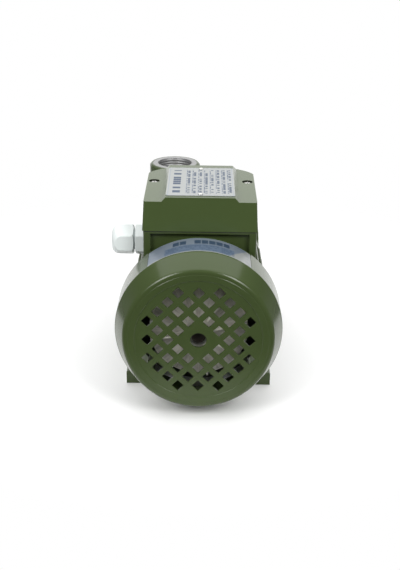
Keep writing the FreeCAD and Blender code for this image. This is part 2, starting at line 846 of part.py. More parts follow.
def box_lid():
    front = box_front - lid_overhang
    back = box_back + lid_overhang
    plan = plan_block(lid_overhang, front, back, lid_bottom, plateau_rise, box_back_round + lid_overhang)
    outer = lid_profile(0, front, back, lid_bottom).common(plan)
    hollow_plan = plan_block(lid_overhang - lid_wall, front + lid_wall, back - lid_wall, lid_bottom - 1,
                             plateau_rise, box_back_round + lid_overhang - lid_wall)
    hollow = lid_profile(lid_wall, front + lid_wall, back - lid_wall, lid_bottom - 1).common(hollow_plan)
    shapes = [outer.cut(hollow)]
    for side in (-1, 1):
        x = side * lid_screw_offset
        column = post(lid_recess_radius + 1.6, lid_bottom, shoulder_rise - 1, x, lid_screw_station)
        shapes.append(column.common(outer))
    lid = joined(shapes)
    cutters = []
    for side in (-1, 1):
        x = side * lid_screw_offset
        floor = shoulder_rise - lid_recess_depth
        cutters.append(post(lid_recess_radius, floor, shoulder_rise + 5, x, lid_screw_station))
        cutters.append(post(lid_screw_radius + 0.2, lid_bottom - 1, shoulder_rise, x, lid_screw_station))
    return lid.cut(cutters)


def lid_screws():
    screws = []
    base = shoulder_rise - lid_recess_depth
    for side in (-1, 1):
        x = side * lid_screw_offset
        centre = spot(x, lid_screw_station, base - lid_screw_head * 0.45)
        dome = Part.makeSphere(lid_screw_head * 1.25, centre)
        head = post(lid_screw_head, base, base + 4, x, lid_screw_station).common(dome)
        shank = post(lid_screw_radius - 0.25, box_top_rise - 9, base + 0.2, x, lid_screw_station)
        slot = block(x - 0.5, x + 0.5, lid_screw_station - 5, lid_screw_station + 5, base + 1.7, base + 6)
        cross = block(x - 5, x + 5, lid_screw_station - 0.5, lid_screw_station + 0.5, base + 1.7, base + 6)
        screws.append(joined([head, shank]).cut([slot, cross]))
    return Part.makeCompound(screws)


def nameplate():
    half = nameplate_width / 2
    start = box_front + nameplate_start
    top = plateau_rise + nameplate_thickness
    plate = block(-half, half, start, start + nameplate_length, plateau_rise, top)
    plate = soften(plate, 1.5, along_z)
    holes = [post(rivet_radius - 0.6, plateau_rise - 1, top + 1, 0, y) for y in rivet_stations()]
    return plate.cut(holes)


def rivet_stations():
    start = box_front + nameplate_start
    return (start + 3.2, start + nameplate_length - 3.2)


def nameplate_rivets():
    top = plateau_rise + nameplate_thickness
    rivets = []
    for y in rivet_stations():
        dome = Part.makeSphere(rivet_radius * 1.2, spot(0, y, top - rivet_radius * 0.66))
        head = post(rivet_radius, top, top + 2, 0, y).common(dome)
        rivets.append(joined([head, post(rivet_radius - 0.65, plateau_rise, top + 0.1, 0, y)]))
    return Part.makeCompound(rivets)


def block_station():
    return box_front + 30.0


def terminal_block():
    low = fin_radius + box_floor
    start = block_station()
    spot_x = terminal_share * box_width
    base = block(spot_x - 10, spot_x + 10, start, start + 34, low - 12, low + 14)
    base = base.cut(rod(fin_radius + box_floor, box_front, box_back))
    cutters = []
    for step in range(3):
        y = start + 6 + 11 * step
        cutters.append(block(spot_x - 14, spot_x + 4, y - 3.5, y + 3.5, low + 8, low + 20))
        cutters.append(post(1.7, low + 1, low + 10, spot_x - 3, y))
    return base.cut(cutters)


def terminal_screws():
    low = fin_radius + box_floor
    x = terminal_share * box_width - 3
    screws = []
    for step in range(3):
        y = block_station() + 6 + 11 * step
        head = post(2.8, low + 8, low + 10.4, x, y)
        stem = post(1.6, low + 2, low + 8.1, x, y)
        slot = block(x - 5, x + 5, y - 0.4, y + 0.4, low + 9.4, low + 12)
        screws.append(joined([head, stem]).cut(slot))
    return Part.makeCompound(screws)


def capacitor_spot():
    return capacitor_share * box_width, fin_radius + box_floor + capacitor_radius - 1.0


def capacitor():
    x, rise = capacitor_spot()
    start = box_front + 20.0
    can = rod(capacitor_radius, start, start + capacitor_length, x, rise)
    can = can.makeFillet(1.5, [e for e in can.Edges if isinstance(e.Curve, Part.Circle)])
    end = start + capacitor_length
    tags = []
    for side in (x - 5, x + 5):
        tags.append(block(side - 0.4, side + 0.4, end - 1, end + 8, rise - 3, rise + 3))
    return joined([can] + tags)


def capacitor_clamp():
    x, rise = capacitor_spot()
    middle = box_front + 46.0
    low = rise - capacitor_radius - 8
    strap = rod(capacitor_radius + 1.2, middle - 5, middle + 5, x, rise)
    leg = block(x, x + capacitor_radius + 1.2, middle - 5, middle + 5, low, rise)
    arch = rod(fin_radius + box_floor, box_front, box_back)
    inside = rod(capacitor_radius, middle - 9, middle + 9, x, rise)
    below = block(x, x + capacitor_radius, middle - 9, middle + 9, low - 1, rise)
    return joined([strap, leg]).cut([inside, arch, below])


def earth_screw():
    x = earth_share * box_width
    y = lead_station()
    floor = math.sqrt((fin_radius + box_floor) ** 2 - x * x)
    shank = post(2.0, floor - 1.5, floor + 6, x, y)
    nut = hexagon(3.6, 2.6, spot(x, y, floor + 1.6), UP)
    arch = rod(fin_radius + box_floor, y - 9, y + 9)
    return joined([shank, nut, post(4.4, floor - 3, floor + 1.6, x, y)]).cut(arch)


# ---- cable gland ----
def gland_face():
    return -box_width / 2


def gland_body():
    wall = gland_face()
    base = spot(wall - gland_collar, gland_station, gland_rise)
    collar = hexagon(gland_flat_radius, gland_collar, base, ACROSS)
    thread = bar(gland_thread_radius - slip, wall - 1, wall + box_wall, gland_station, gland_rise)
    start = gland_tip() + 7.0
    outer = bar(gland_thread_radius - 0.6, start, wall - gland_collar + 1, gland_station, gland_rise)
    bore = bar(gland_thread_radius - 2.4, gland_tip(), wall + box_wall + 1, gland_station, gland_rise)
    return joined([collar, thread, outer]).cut(bore)


def gland_nut_start():
    return gland_face() - gland_collar - gland_gap


def gland_tip():
    return gland_nut_start() - gland_nut_length


def gland_nut():
    start = gland_nut_start()
    tip = gland_tip()
    hexed = hexagon(gland_flat_radius, gland_nut_length, spot(tip, gland_station, gland_rise), ACROSS)
    centre = tip + gland_flat_radius + 2.2
    ball = Part.makeSphere(gland_flat_radius + 3.2, spot(centre, gland_station, gland_rise))
    body = bar(gland_flat_radius + 3, centre, start + 1, gland_station, gland_rise)
    shaped = hexed.common(joined([ball, body]))
    hollow = bar(gland_thread_radius - 0.6 + slip, tip + 3.5, start + 1, gland_station, gland_rise)
    mouth = bar(gland_tip_radius, tip - 1, start, gland_station, gland_rise)
    return shaped.cut([hollow, mouth])


def gland_seal():
    tip = gland_tip()
    shapes = [bar(gland_thread_radius - 0.8, tip + 3.6, tip + 6.9, gland_station, gland_rise)]
    shapes.append(bar(gland_thread_radius - 2.5, tip + 3.6, tip + 15, gland_station, gland_rise))
    bore = bar(gland_cable_radius, tip, tip + 20, gland_station, gland_rise)
    return joined(shapes).cut(bore)


def save(name, shape):
    shape.exportStep(os.path.join("parts", name + ".step"))


def main():
    os.makedirs("parts", exist_ok=True)
    rear = bearing(rear_seat_radius, rear_bearing_outer, rear_bearing_start, rear_bearing_width,
                   rear_ball_radius, rear_ball_count)
    front = bearing(front_seat_radius, front_bearing_outer, front_bearing_start, front_bearing_width,
                    front_ball_radius, front_ball_count)
    for label, races in (("rear", rear), ("front", front)):
        for kind, shape in zip(("inner_race", "outer_race", "balls", "cage"), races):
            save(label + "_bearing_" + kind, shape)
    washer_start = rear_bearing_start - washer_thickness
    washer_radius = rear_bearing_outer - clear
    save("preload_washer", ring(washer_radius, washer_radius - 2.5, washer_start, rear_bearing_start))
    save("fan_clip", spring_ring(fan_seat_radius, fan_tip() - 1.0))
    save("impeller_clip", spring_ring(pump_seat_radius, impeller_end + 0.1))
    save("impeller_key", key_slab(0.0).common(rod(pump_seat_radius + 1.5, impeller_start, impeller_end)))
    plug_top = casing_radius + 4
    save("priming_plug", plug(plug_radius, 8.5, plug_x(), plug_station(), plug_top, UP))
    save("priming_washer", washer_at(plug_radius, plug_x(), plug_station(), plug_top, UP))
    save("drain_plug", plug(drain_radius, 7.0, drain_x(), drain_station(), -plug_top, -UP))
    save("drain_washer", washer_at(drain_radius, drain_x(), drain_station(), -plug_top, -UP))
    makers = (fan_cover, cover_label, cover_screws, rear_shield, tie_bolts, motor_housing, stator_core,
              stator_windings, rotor_core, rotor_end_rings, shaft, fan, pump_bracket, slinger, seal_seat,
              seal_ring, seal_spring, impeller, casing_seal_ring, pump_casing, casing_bolts, box_base,
              floor_screws, box_gasket, box_lid, lid_screws, nameplate, nameplate_rivets, terminal_block,
              terminal_screws, capacitor, capacitor_clamp, earth_screw, gland_body, gland_nut, gland_seal)
    for maker in makers:
        save(maker.__name__, maker())


main()
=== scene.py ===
import math

import bmesh
import bpy
from bpy.props import FloatProperty, FloatVectorProperty, IntProperty, PointerProperty
from bpy.types import Operator, Panel, PropertyGroup
from mathutils import Matrix, Vector


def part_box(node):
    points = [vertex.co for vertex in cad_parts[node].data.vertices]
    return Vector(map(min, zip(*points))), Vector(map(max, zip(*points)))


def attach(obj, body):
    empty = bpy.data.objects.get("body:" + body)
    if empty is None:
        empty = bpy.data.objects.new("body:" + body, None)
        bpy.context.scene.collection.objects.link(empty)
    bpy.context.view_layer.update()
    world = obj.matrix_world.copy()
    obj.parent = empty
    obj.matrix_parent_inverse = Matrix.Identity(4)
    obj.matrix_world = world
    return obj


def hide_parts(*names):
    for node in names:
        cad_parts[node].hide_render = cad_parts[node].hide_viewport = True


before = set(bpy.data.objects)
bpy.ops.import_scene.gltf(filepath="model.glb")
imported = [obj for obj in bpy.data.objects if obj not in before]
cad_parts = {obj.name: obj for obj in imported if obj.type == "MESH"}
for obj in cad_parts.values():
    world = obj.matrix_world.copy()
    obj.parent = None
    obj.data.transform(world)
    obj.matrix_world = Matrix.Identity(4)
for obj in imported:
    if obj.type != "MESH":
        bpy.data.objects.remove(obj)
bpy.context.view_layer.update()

bl_info = {
    "name": "Peripheral Pump Looks",
    "version": (1, 0, 0),
    "blender": (4, 5, 0),
    "location": "View3D > Sidebar > Pump",
    "description": "Builds the visible pieces and finishes of a small peripheral water pump",
    "category": "Object",
}

MM = 0.001
# in millimetres: the shaft's height, and where the outlet and the right lid screw stand (x, y)
SHAFT_RISE = 68.5
OUTLET_SPOT = (-23.8, 90.0)
LID_SCREW_SPOT = (38.0, 6.0)
# front of the fan's back plate along the shaft, and how much painted shade darkens a hollow
FAN_PLATE = -85.0 * MM
HOLLOW_SHADE = 0.85
SHAFT = Vector((0.0, 0.0, SHAFT_RISE * MM))
ALONG = Vector((0.0, 1.0, 0.0))
ACROSS = Vector((1.0, 0.0, 0.0))
UP = Vector((0.0, 0.0, 1.0))
STEEL_NODES = ("cover_screws", "tie_bolts", "fan_clip", "floor_screws", "lid_screws", "nameplate_rivets",
               "casing_bolts", "capacitor_clamp", "preload_washer")


# ---- settings a maker would change ----
class CoverSettings(PropertyGroup):
    """Sizes of the fan cover and of the fan behind it"""
    grille_pitch: FloatProperty(
        name="Grille pitch", description="Half the distance between holes in a row",
        default=7.66 * MM, unit="LENGTH")
    hole_reach: FloatProperty(
        name="Hole size", description="From a hole's centre to its corner",
        default=4.6 * MM, unit="LENGTH")
    panel_radius: FloatProperty(
        name="Panel radius", description="Edge of the flat panel that holds the grille",
        default=48.0 * MM, unit="LENGTH")
    edge_round: FloatProperty(
        name="Edge rounding", description="Rounding of the hole edges",
        default=0.45 * MM, unit="LENGTH")
    turns: IntProperty(
        name="Facets", description="Steps of the turned skirt",
        default=144)
    blades: IntProperty(
        name="Blades", description="Blades of the fan",
        default=8)


class BoxSettings(PropertyGroup):
    """Sizes of the terminal box lid, its plate and its screws"""
    edge_round: FloatProperty(
        name="Lid edge rounding", description="Rounding of the lid's edges",
        default=0.9 * MM, unit="LENGTH")
    back_round: FloatProperty(
        name="Back corner rounding", description="Rounding of the lid's rear corners",
        default=15.4 * MM, unit="LENGTH")
    front_round: FloatProperty(
        name="Front corner rounding", description="Rounding of the lid's front corners",
        default=2.2 * MM, unit="LENGTH")
    plateau_half: FloatProperty(
        name="Plateau half width", description="Half the width of the lid's raised middle",
        default=27.6 * MM, unit="LENGTH")
    plateau_slope: FloatProperty(
        name="Plateau slope", description="Width of the slope beside the raised middle",
        default=3.1 * MM, unit="LENGTH")
    screw_head: FloatProperty(
        name="Screw head radius", description="Radius of a lid screw's head",
        default=3.7 * MM, unit="LENGTH")


class FinishSettings(PropertyGroup):
    """Colours of the painted, moulded and printed surfaces"""
    paint: FloatVectorProperty(
        name="Paint", description="Olive green enamel",
        subtype="COLOR", size=3, default=(0.047, 0.069, 0.022), min=0.0, max=1.0)
    print_blue: FloatVectorProperty(
        name="Print", description="Blue ink of the labels",
        subtype="COLOR", size=3, default=(0.035, 0.075, 0.150), min=0.0, max=1.0)
    foil: FloatVectorProperty(
        name="Foil", description="Silver ground of the labels",
        subtype="COLOR", size=3, default=(0.340, 0.355, 0.350), min=0.0, max=1.0)
    fan_grey: FloatVectorProperty(
        name="Fan grey", description="Pale plastic of the fan",
        subtype="COLOR", size=3, default=(0.82, 0.80, 0.72), min=0.0, max=1.0)
    gland_white: FloatVectorProperty(
        name="Gland white", description="Nylon of the cable gland",
        subtype="COLOR", size=3, default=(0.74, 0.79, 0.78), min=0.0, max=1.0)


# ---- shader writing ----
class Sum:
    """A shader value that can be added, multiplied and compared like a number"""

    def __init__(self, sheet, socket):
        self.sheet = sheet
        self.socket = socket

    def op(self, operation, *others):
        """The result of a Math node"""
        return self.sheet.node("ShaderNodeMath", {"operation": operation}, dict(enumerate((self,) + others)))

    def __add__(self, other):
        return self.op("ADD", other)

    def __radd__(self, other):
        return self.op("ADD", other)

    def __sub__(self, other):
        return self.op("SUBTRACT", other)

    def __rsub__(self, other):
        return self.sheet.number("SUBTRACT", other, self)

    def __mul__(self, other):
        return self.op("MULTIPLY", other)

    def __rmul__(self, other):
        return self.op("MULTIPLY", other)

    def __truediv__(self, other):
        return self.op("DIVIDE", other)

    def __gt__(self, other):
        return self.op("GREATER_THAN", other)

    def __lt__(self, other):
        return self.op("LESS_THAN", other)

    def step(self, low, high):
        """0 below low, 1 above high, smooth between"""
        settings = {"interpolation_type": "SMOOTHSTEP"}
        values = {"Value": self, "From Min": low, "From Max": high, "To Min": 0.0, "To Max": 1.0}
        return self.sheet.node("ShaderNodeMapRange", settings, values)

    def wrap(self, span):
        """The remainder after whole spans, never negative"""
        return self.op("FLOORED_MODULO", span)


class Sheet:
    """A node tree that is written like a sum"""

    def __init__(self, tree):
        self.tree = tree

    def node(self, kind, settings=None, values=None, out=0):
        """Adds any node, sets it up, feeds its inputs and gives back one output"""
        made = self.tree.nodes.new(kind)
        for key, value in (settings or {}).items():
            setattr(made, key, value)
        for key, value in (values or {}).items():
            self.feed(made.inputs[key], value)
        return Sum(self, made.outputs[out])

    def feed(self, socket, value):
        """Links a worked-out value to an input, or sets a constant on it"""
        if isinstance(value, Sum):
            self.tree.links.new(value.socket, socket)
        elif hasattr(value, "__len__") and len(value) == 3 and len(socket.default_value) == 4:
            socket.default_value = (*value, 1.0)
        else:
            socket.default_value = value

    def number(self, operation, first, second):
        """A Math node whose first input is a plain number"""
        return self.node("ShaderNodeMath", {"operation": operation}, {0: first, 1: second})


class Finish(Sheet):
    """One material, built node by node"""

    def __init__(self, name):
        self.material = bpy.data.materials.new(name)
        self.material.use_nodes = True
        super().__init__(self.material.node_tree)
        self.shader = self.tree.nodes["Principled BSDF"]

    def place(self):
        """The x, y and z of a point of the pump, in millimetres"""
        where = self.node("ShaderNodeTexCoord", out="Object")
        spread = self.node("ShaderNodeVectorMath", {"operation": "SCALE"}, {0: where, "Scale": 1000.0})
        split = self.node("ShaderNodeSeparateXYZ", values={0: spread})
        parts = split.socket.node.outputs
        return Sum(self, parts[0]), Sum(self, parts[1]), Sum(self, parts[2])

    def noise(self, scale, detail=3.0, rough=0.55, stretch=None):
        """Cloudy variation, drawn out along an axis if it is stretched"""
        where = self.node("ShaderNodeTexCoord", out="Object")
        if stretch:
            where = self.node("ShaderNodeMapping", values={0: where, "Scale": stretch})
        values = {"Vector": where, "Scale": scale, "Detail": detail, "Roughness": rough}
        return self.node("ShaderNodeTexNoise", values=values)

    def grain(self, scale):
        """Rounded grains, as sand leaves them on a casting"""
        where = self.node("ShaderNodeTexCoord", out="Object")
        return self.node("ShaderNodeTexVoronoi", {"feature": "SMOOTH_F1"}, {"Vector": where, "Scale": scale})

    def blend(self, factor, first, second):
        """From the first colour to the second"""
        values = {"Factor": factor, 6: first, 7: second}
        return self.node("ShaderNodeMix", {"data_type": "RGBA"}, values, out=2)

    def tint(self, colour, factor):
        """A colour made darker or lighter by a factor"""
        settings = {"data_type": "RGBA", "blend_type": "MULTIPLY"}
        grey = self.node("ShaderNodeCombineColor", values={0: factor, 1: factor, 2: factor})
        return self.node("ShaderNodeMix", settings, {"Factor": 1.0, 6: colour, 7: grey}, out=2)

    def edges(self, radius):
        """1 on sharp edges and 0 on flats"""
        normals = {0: self.rounded(radius), 1: self.node("ShaderNodeNewGeometry", out="Normal")}
        same = self.node("ShaderNodeVectorMath", {"operation": "DOT_PRODUCT"}, normals, out="Value")
        return (1.0 - same).step(0.03, 0.25)

    def rounded(self, radius):
        """Normals as if sharp edges were rounded, or None for no rounding"""
        return self.node("ShaderNodeBevel", {"samples": 6}, {"Radius": radius}) if radius else None

    def bump(self, height, strength, distance, normal=None):
        """Normals raised by a height field"""
        values = {"Height": height, "Strength": strength, "Distance": distance}
        if normal:
            values["Normal"] = normal
        return self.node("ShaderNodeBump", values=values)

    def set(self, **values):
        """Feeds the surface and gives back the finished material"""
        names = {"colour": "Base Color", "rough": "Roughness", "metal": "Metallic", "coat": "Coat Weight",
                 "coat_rough": "Coat Roughness", "normal": "Normal", "ior": "IOR"}
        for key, value in values.items():
            self.feed(self.shader.inputs[names[key]], value)
        return self.material


def tone(colour, times, plus=0.0):
    """A colour with each part multiplied and raised, kept within 1"""
    return tuple(min(1.0, part * times + plus) for part in colour)


def reach(first, second):
    """Distance from an axis"""
    return (first * first + second * second).op("SQRT")


def fan_hollow_shade(finish):
    """1 in the hollow round the fan, behind the cover's grille, where painted shade darkens the surfaces"""
    x, y, z = finish.place()
    return (reach(x, z - SHAFT_RISE) < 54.5) * (y > -104.2) * (y < -40.0)


def screw_wells(finish):
    """1 on the floors and walls of the sunk places for the lid's screws, where painted shade darkens the lid
    """
    x, y, _ = finish.place()
    return reach(x.op("ABSOLUTE") - LID_SCREW_SPOT[0], y - LID_SCREW_SPOT[1]) < 4.45


def enamel(name, colour, peel=0.10, gloss=0.20, round_to=0.0, wear=0.25, cast=0.0, shaded_hollow=fan_hollow_shade):
    """Green enamel: even colour, slight mottling, orange peel, thin pale edges, and painted shade in the
    hollow that is given
    """
    finish = Finish(name)
    mottling = finish.noise(38.0, 4.0)
    fine = finish.noise(900.0, 2.0)
    edge = finish.edges(0.0009) * (0.35 + finish.noise(240.0, 3.0).step(0.42, 0.62) * 0.65)
    # painted shade: the colour is darkened inside the shaded hollow
    shade = (0.90 + mottling * 0.14 + fine * 0.06) * (1.0 - shaded_hollow(finish) * HOLLOW_SHADE)
    painted = finish.tint(colour, shade)
    pale = tone(colour, 2.1, 0.03)
    surface = finish.blend(edge * wear, painted, pale)
    height = fine * 0.5 + finish.noise(170.0, 2.0) * 0.5
    if cast:
        height = height + finish.grain(420.0) * cast + finish.noise(1500.0, 3.0) * cast
    normal = finish.bump(height, peel, 0.0003, finish.rounded(round_to))
    rough = gloss + mottling * 0.08 + finish.noise(14.0, 2.0) * 0.05
    return finish.set(colour=surface, rough=rough, normal=normal, ior=1.38, coat=0.12, coat_rough=0.08)


def moulded(name, colour, rough, fleck=0.0, round_to=0.0):
    """Moulded plastic or rubber with a fine grain"""
    finish = Finish(name)
    mottling = finish.noise(60.0, 3.0)
    shade = 0.93 + mottling * 0.10 + finish.noise(700.0, 2.0) * (0.04 + fleck)
    height = finish.noise(1300.0, 3.0)
    return finish.set(colour=finish.tint(colour, shade), rough=rough + mottling * 0.10,
                      normal=finish.bump(height, 0.12, 0.0001, finish.rounded(round_to)))


def metal(name, colour, rough, stretch=(1.0, 1.0, 1.0), scratch=0.15, round_to=0.0, stain=0.12, shaded_hollow=None):
    """Bare metal with a drawn or turned grain, light stains, brighter edges, and painted shade in a hollow if
    one is given
    """
    finish = Finish(name)
    lines = finish.noise(420.0, 4.0, 0.6, stretch)
    cloud = finish.noise(45.0, 4.0)
    edge = finish.edges(0.0006)
    shade = (0.94 - stain) + cloud * stain * 1.6 + lines * 0.10 + edge * 0.18
    # painted shade: the colour is darkened inside the shaded hollow, if one is given
    if shaded_hollow:
        shade = shade * (1.0 - shaded_hollow(finish) * HOLLOW_SHADE)
    rough_field = rough - 0.08 + cloud * 0.12 + lines * 0.10
    return finish.set(colour=finish.tint(colour, shade), metal=1.0, rough=rough_field,
                      normal=finish.bump(lines, scratch, 0.0001, finish.rounded(round_to)))


def fan_moulding(name, colour):
    """Pale plastic with flow lines out from the hub, a painted highlight on the blade tips and the rim, and
    painted shade towards the outer edge
    """
    finish = Finish(name)
    x, y, z = finish.place()
    z = z - SHAFT_RISE
    radius = reach(x, z)
    turn = x.op("ARCTAN2", z)
    way = finish.node("ShaderNodeCombineXYZ", values={0: turn * 14.0, 1: radius * 0.06, 2: y * 0.3})
    flow = finish.node("ShaderNodeTexNoise", values={"Vector": way, "Scale": 1.6, "Detail": 3.0})
    cloud = finish.noise(45.0, 3.0)
    # painted highlight: the blade tips and the back plate's rim are blended towards a lighter colour
    tip_highlight = (y < -91.5) * (radius > 11.5)
    rim = radius > 36.8
    # painted shade: the fan gets darker towards its outer edge
    shade = 0.40 + flow * 0.78 + cloud * 0.18 - (radius / 38.0) * 0.10
    plain = finish.tint(colour, shade)
    light = tone(colour, 1.20)
    surface = finish.blend(tip_highlight.op("MAXIMUM", rim) * 0.85, plain, light)
    return finish.set(colour=surface, rough=0.42 + flow * 0.12,
                      normal=finish.bump(flow, 0.35, 0.0003, finish.rounded(0.0003)))


def shaft_steel(name):
    """Ground bar, with painted shade on its end inside the fan cover: dark brown, dull and rough"""
    finish = Finish(name)
    _, y, _ = finish.place()
    lines = finish.noise(420.0, 4.0, 0.6, (0.15, 6.0, 0.15))
    cloud = finish.noise(90.0, 4.0)
    # painted shade: the shaft's end inside the fan cover is dark brown, less metallic and rougher
    shaded_end = y < -84.0
    bright = finish.tint((0.62, 0.63, 0.64), 0.85 + lines * 0.15)
    shade_brown = finish.tint((0.030, 0.024, 0.018), 0.5 + cloud)
    return finish.set(colour=finish.blend(shaded_end, bright, shade_brown), metal=1.0 - shaded_end * 0.7,
                      rough=0.22 + lines * 0.1 + shaded_end * 0.35, normal=finish.bump(lines, 0.2, 0.0001))


def port_mask(first, second, depth, lip):
    """1 inside a port's bore and on its machined face, with the distance from the port's axis"""
    radius = reach(first, second)
    face = (radius < 19.6) * (depth > lip - 0.5)
    bore = (radius < 15.9) * (depth > lip - 40.0)
    return face.op("MAXIMUM", bore), radius


def thread_wave(depth, pitch=2.309):
    """The sawtooth of a cut thread, from 0 to 1 and back in one pitch"""
    return (depth.wrap(pitch) - pitch / 2).op("ABSOLUTE") / (pitch / 2)


def cast_iron_paint(name, colour):
    """Enamel over cast iron, bare where the ports were machined, with cut threads in them"""
    finish = Finish(name)
    x, y, z = finish.place()
    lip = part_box("pump_casing")[1] / MM
    along = y - OUTLET_SPOT[1]
    top, top_radius = port_mask(x - OUTLET_SPOT[0], along, z, lip.z)
    side, side_radius = port_mask(along, z - SHAFT_RISE, x, lip.x)
    bare = top.op("MAXIMUM", side)
    thread = (top_radius < 15.6) * thread_wave(z) + (side_radius < 15.6) * thread_wave(x)
    mottling = finish.noise(38.0, 4.0)
    fine = finish.noise(900.0, 2.0)
    shade = 0.88 + mottling * 0.16 + fine * 0.06
    pale = tone(colour, 2.1, 0.03)
    edge = finish.edges(0.0012) * finish.noise(240.0, 3.0).step(0.40, 0.62)
    painted = finish.blend(edge * 0.3, finish.tint(colour, shade), pale)
    cut = finish.tint((0.36, 0.36, 0.36), 0.80 + fine * 0.2 + thread * 0.10)
    height = (finish.grain(380.0) * 0.55 + finish.noise(1500.0, 3.0) * 0.25) * (1.0 - bare) + fine * 0.2
    soft = finish.rounded(0.0016)
    rough = finish.bump(height, 0.30, 0.0004, soft)
    normal = finish.bump(thread, 0.5, 0.0006, rough)
    return finish.set(colour=finish.blend(bare, painted, cut), metal=bare * 0.75,
                      rough=0.24 + mottling * 0.10 + bare * 0.18, normal=normal)


def greek(finish, along, across, row, pitch, fill, seed):
    """Plain bars in place of lettering: broken strokes along one line"""
    line = (across.wrap(row) / row - 0.5).op("ABSOLUTE") < fill * 0.5
    cell = (across / row).op("FLOOR")
    where = finish.node("ShaderNodeCombineXYZ", values={0: (along / pitch).op("FLOOR"), 1: cell, 2: seed})
    coin = finish.node("ShaderNodeTexWhiteNoise", values={"Vector": where})
    gap = (along.wrap(pitch) / pitch) < 0.86
    return line * gap * (coin > 0.34)


def plate_print(name, foil, ink):
    """Foil plate with a header block, ruled columns and rows of plain bars"""
    finish = Finish(name)
    x, y, _ = finish.place()
    low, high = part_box("nameplate")
    left, right, front, back = low.x / MM, high.x / MM, low.y / MM, high.y / MM
    column = 4.7
    start = left + 15.0
    inside = (x > left + 2.2) * (x < right - 2.2) * (y > front + 6.0) * (y < back - 6.0)
    small = greek(finish, y, x - start, column, 2.3, 0.40, 3.0) * (x > start) * inside
    tiny = greek(finish, y, x - start + 1.6, column, 1.1, 0.16, 5.0) * (x > start) * inside
    small = small.op("MAXIMUM", tiny)
    heading = greek(finish, y, x - (left + 4.4), 8.0, 5.4, 1.6, 8.0)
    heading = heading * (x > left + 4.8) * (x < left + 10.8) * (y > front + 18.0) * (y < back - 7.0)
    badge = (x > left + 4.8) * (x < left + 10.8) * (y > front + 7.5) * (y < front + 13.5)
    rule = ((x - start).wrap(column) < 0.28) * (x > start - 1.0) * inside
    marks = small.op("MAXIMUM", heading).op("MAXIMUM", badge)
    rules = rule
    for along, place in ((x, left + 1.5), (x, right - 1.5), (y, front + 1.5), (y, back - 1.5)):
        rules = rules.op("MAXIMUM", (along - place).op("ABSOLUTE") < 0.18)
    cloud = finish.noise(70.0, 4.0)
    brushed = finish.noise(300.0, 3.0, 0.6, (1.0, 0.04, 1.0))
    ground = finish.tint(foil, 0.90 + cloud * 0.10 + brushed * 0.08)
    pale_ink = tone(ink, 1.5, 0.10)
    printed = finish.blend(rules * 0.55, finish.blend(marks * 0.92, ground, tone(ink, 0.7)), pale_ink)
    height = (1.0 - marks) * 0.4 + brushed * 0.15
    return finish.set(colour=printed, metal=0.30 * (1.0 - marks), rough=0.34 + marks * 0.2 + cloud * 0.08,
                      normal=finish.bump(height, 0.25, 0.00012))


def ring_print(name, foil, ink):
    """Curved foil: one bold row of plain blocks, a band of fine bars and scuffed ends"""
    finish = Finish(name)
    x, y, z = finish.place()
    angle = x.op("ARCTAN2", z - SHAFT_RISE) * 64.0
    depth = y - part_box("cover_label")[0].y / MM
    bold = greek(finish, angle + 60.0, depth - 15.6, 8.6, 5.6, 1.8, 5.0) * (depth > 15.8) * (depth < 23.2)
    fine = greek(finish, angle + 60.0, depth, 2.5, 1.7, 0.50, 9.0) * (depth > 2.5) * (depth < 13.5)
    middle = (angle.op("ABSOLUTE") < 27.0)
    band = (depth > 1.6) * (depth < 14.4) * middle
    cool = (angle < 22.0 + depth * 0.6) * (depth > 1.0)
    swirl = finish.noise(85.0, 4.0, 0.6)
    scuffs = (angle.op("ABSOLUTE") > 30.0) * swirl.step(0.45, 0.60)
    ground = finish.tint(foil, 0.86 + swirl * 0.22)
    tinted = finish.blend(band * 0.25 + cool * 0.58, ground, tone(ink, 1.3, 0.03))
    marks = (bold * middle).op("MAXIMUM", fine * middle * 0.7).op("MAXIMUM", scuffs * 0.25)
    printed = finish.blend(marks * 0.9, tinted, tone(ink, 0.7))
    return finish.set(colour=printed, metal=0.25, rough=0.30 + swirl * 0.12,
                      normal=finish.bump(swirl, 0.10, 0.0002))


def varnished_wire(name):
    """Bundled copper wire under varnish"""
    finish = Finish(name)
    strands = finish.noise(120.0, 4.0, 0.7, (1.0, 5.0, 1.0))
    ridges = ((strands * 60.0).op("SINE") + 1.0) * 0.5
    shade = 0.45 + ridges * 0.5
    return finish.set(colour=finish.tint((0.52, 0.20, 0.07), shade), metal=0.55, rough=0.30 + ridges * 0.15,
                      normal=finish.bump(ridges, 0.7, 0.0004))


def laminated(name):
    """Edges of stacked steel sheets"""
    finish = Finish(name)
    _, y, _ = finish.place()
    sheets = y.wrap(0.5) < 0.38
    cloud = finish.noise(60.0, 3.0)
    shade = 0.55 + sheets * 0.35 + cloud * 0.15
    return finish.set(colour=finish.tint((0.28, 0.28, 0.29), shade), metal=0.8, rough=0.38 + cloud * 0.1,
                      normal=finish.bump(sheets, 0.4, 0.0001))


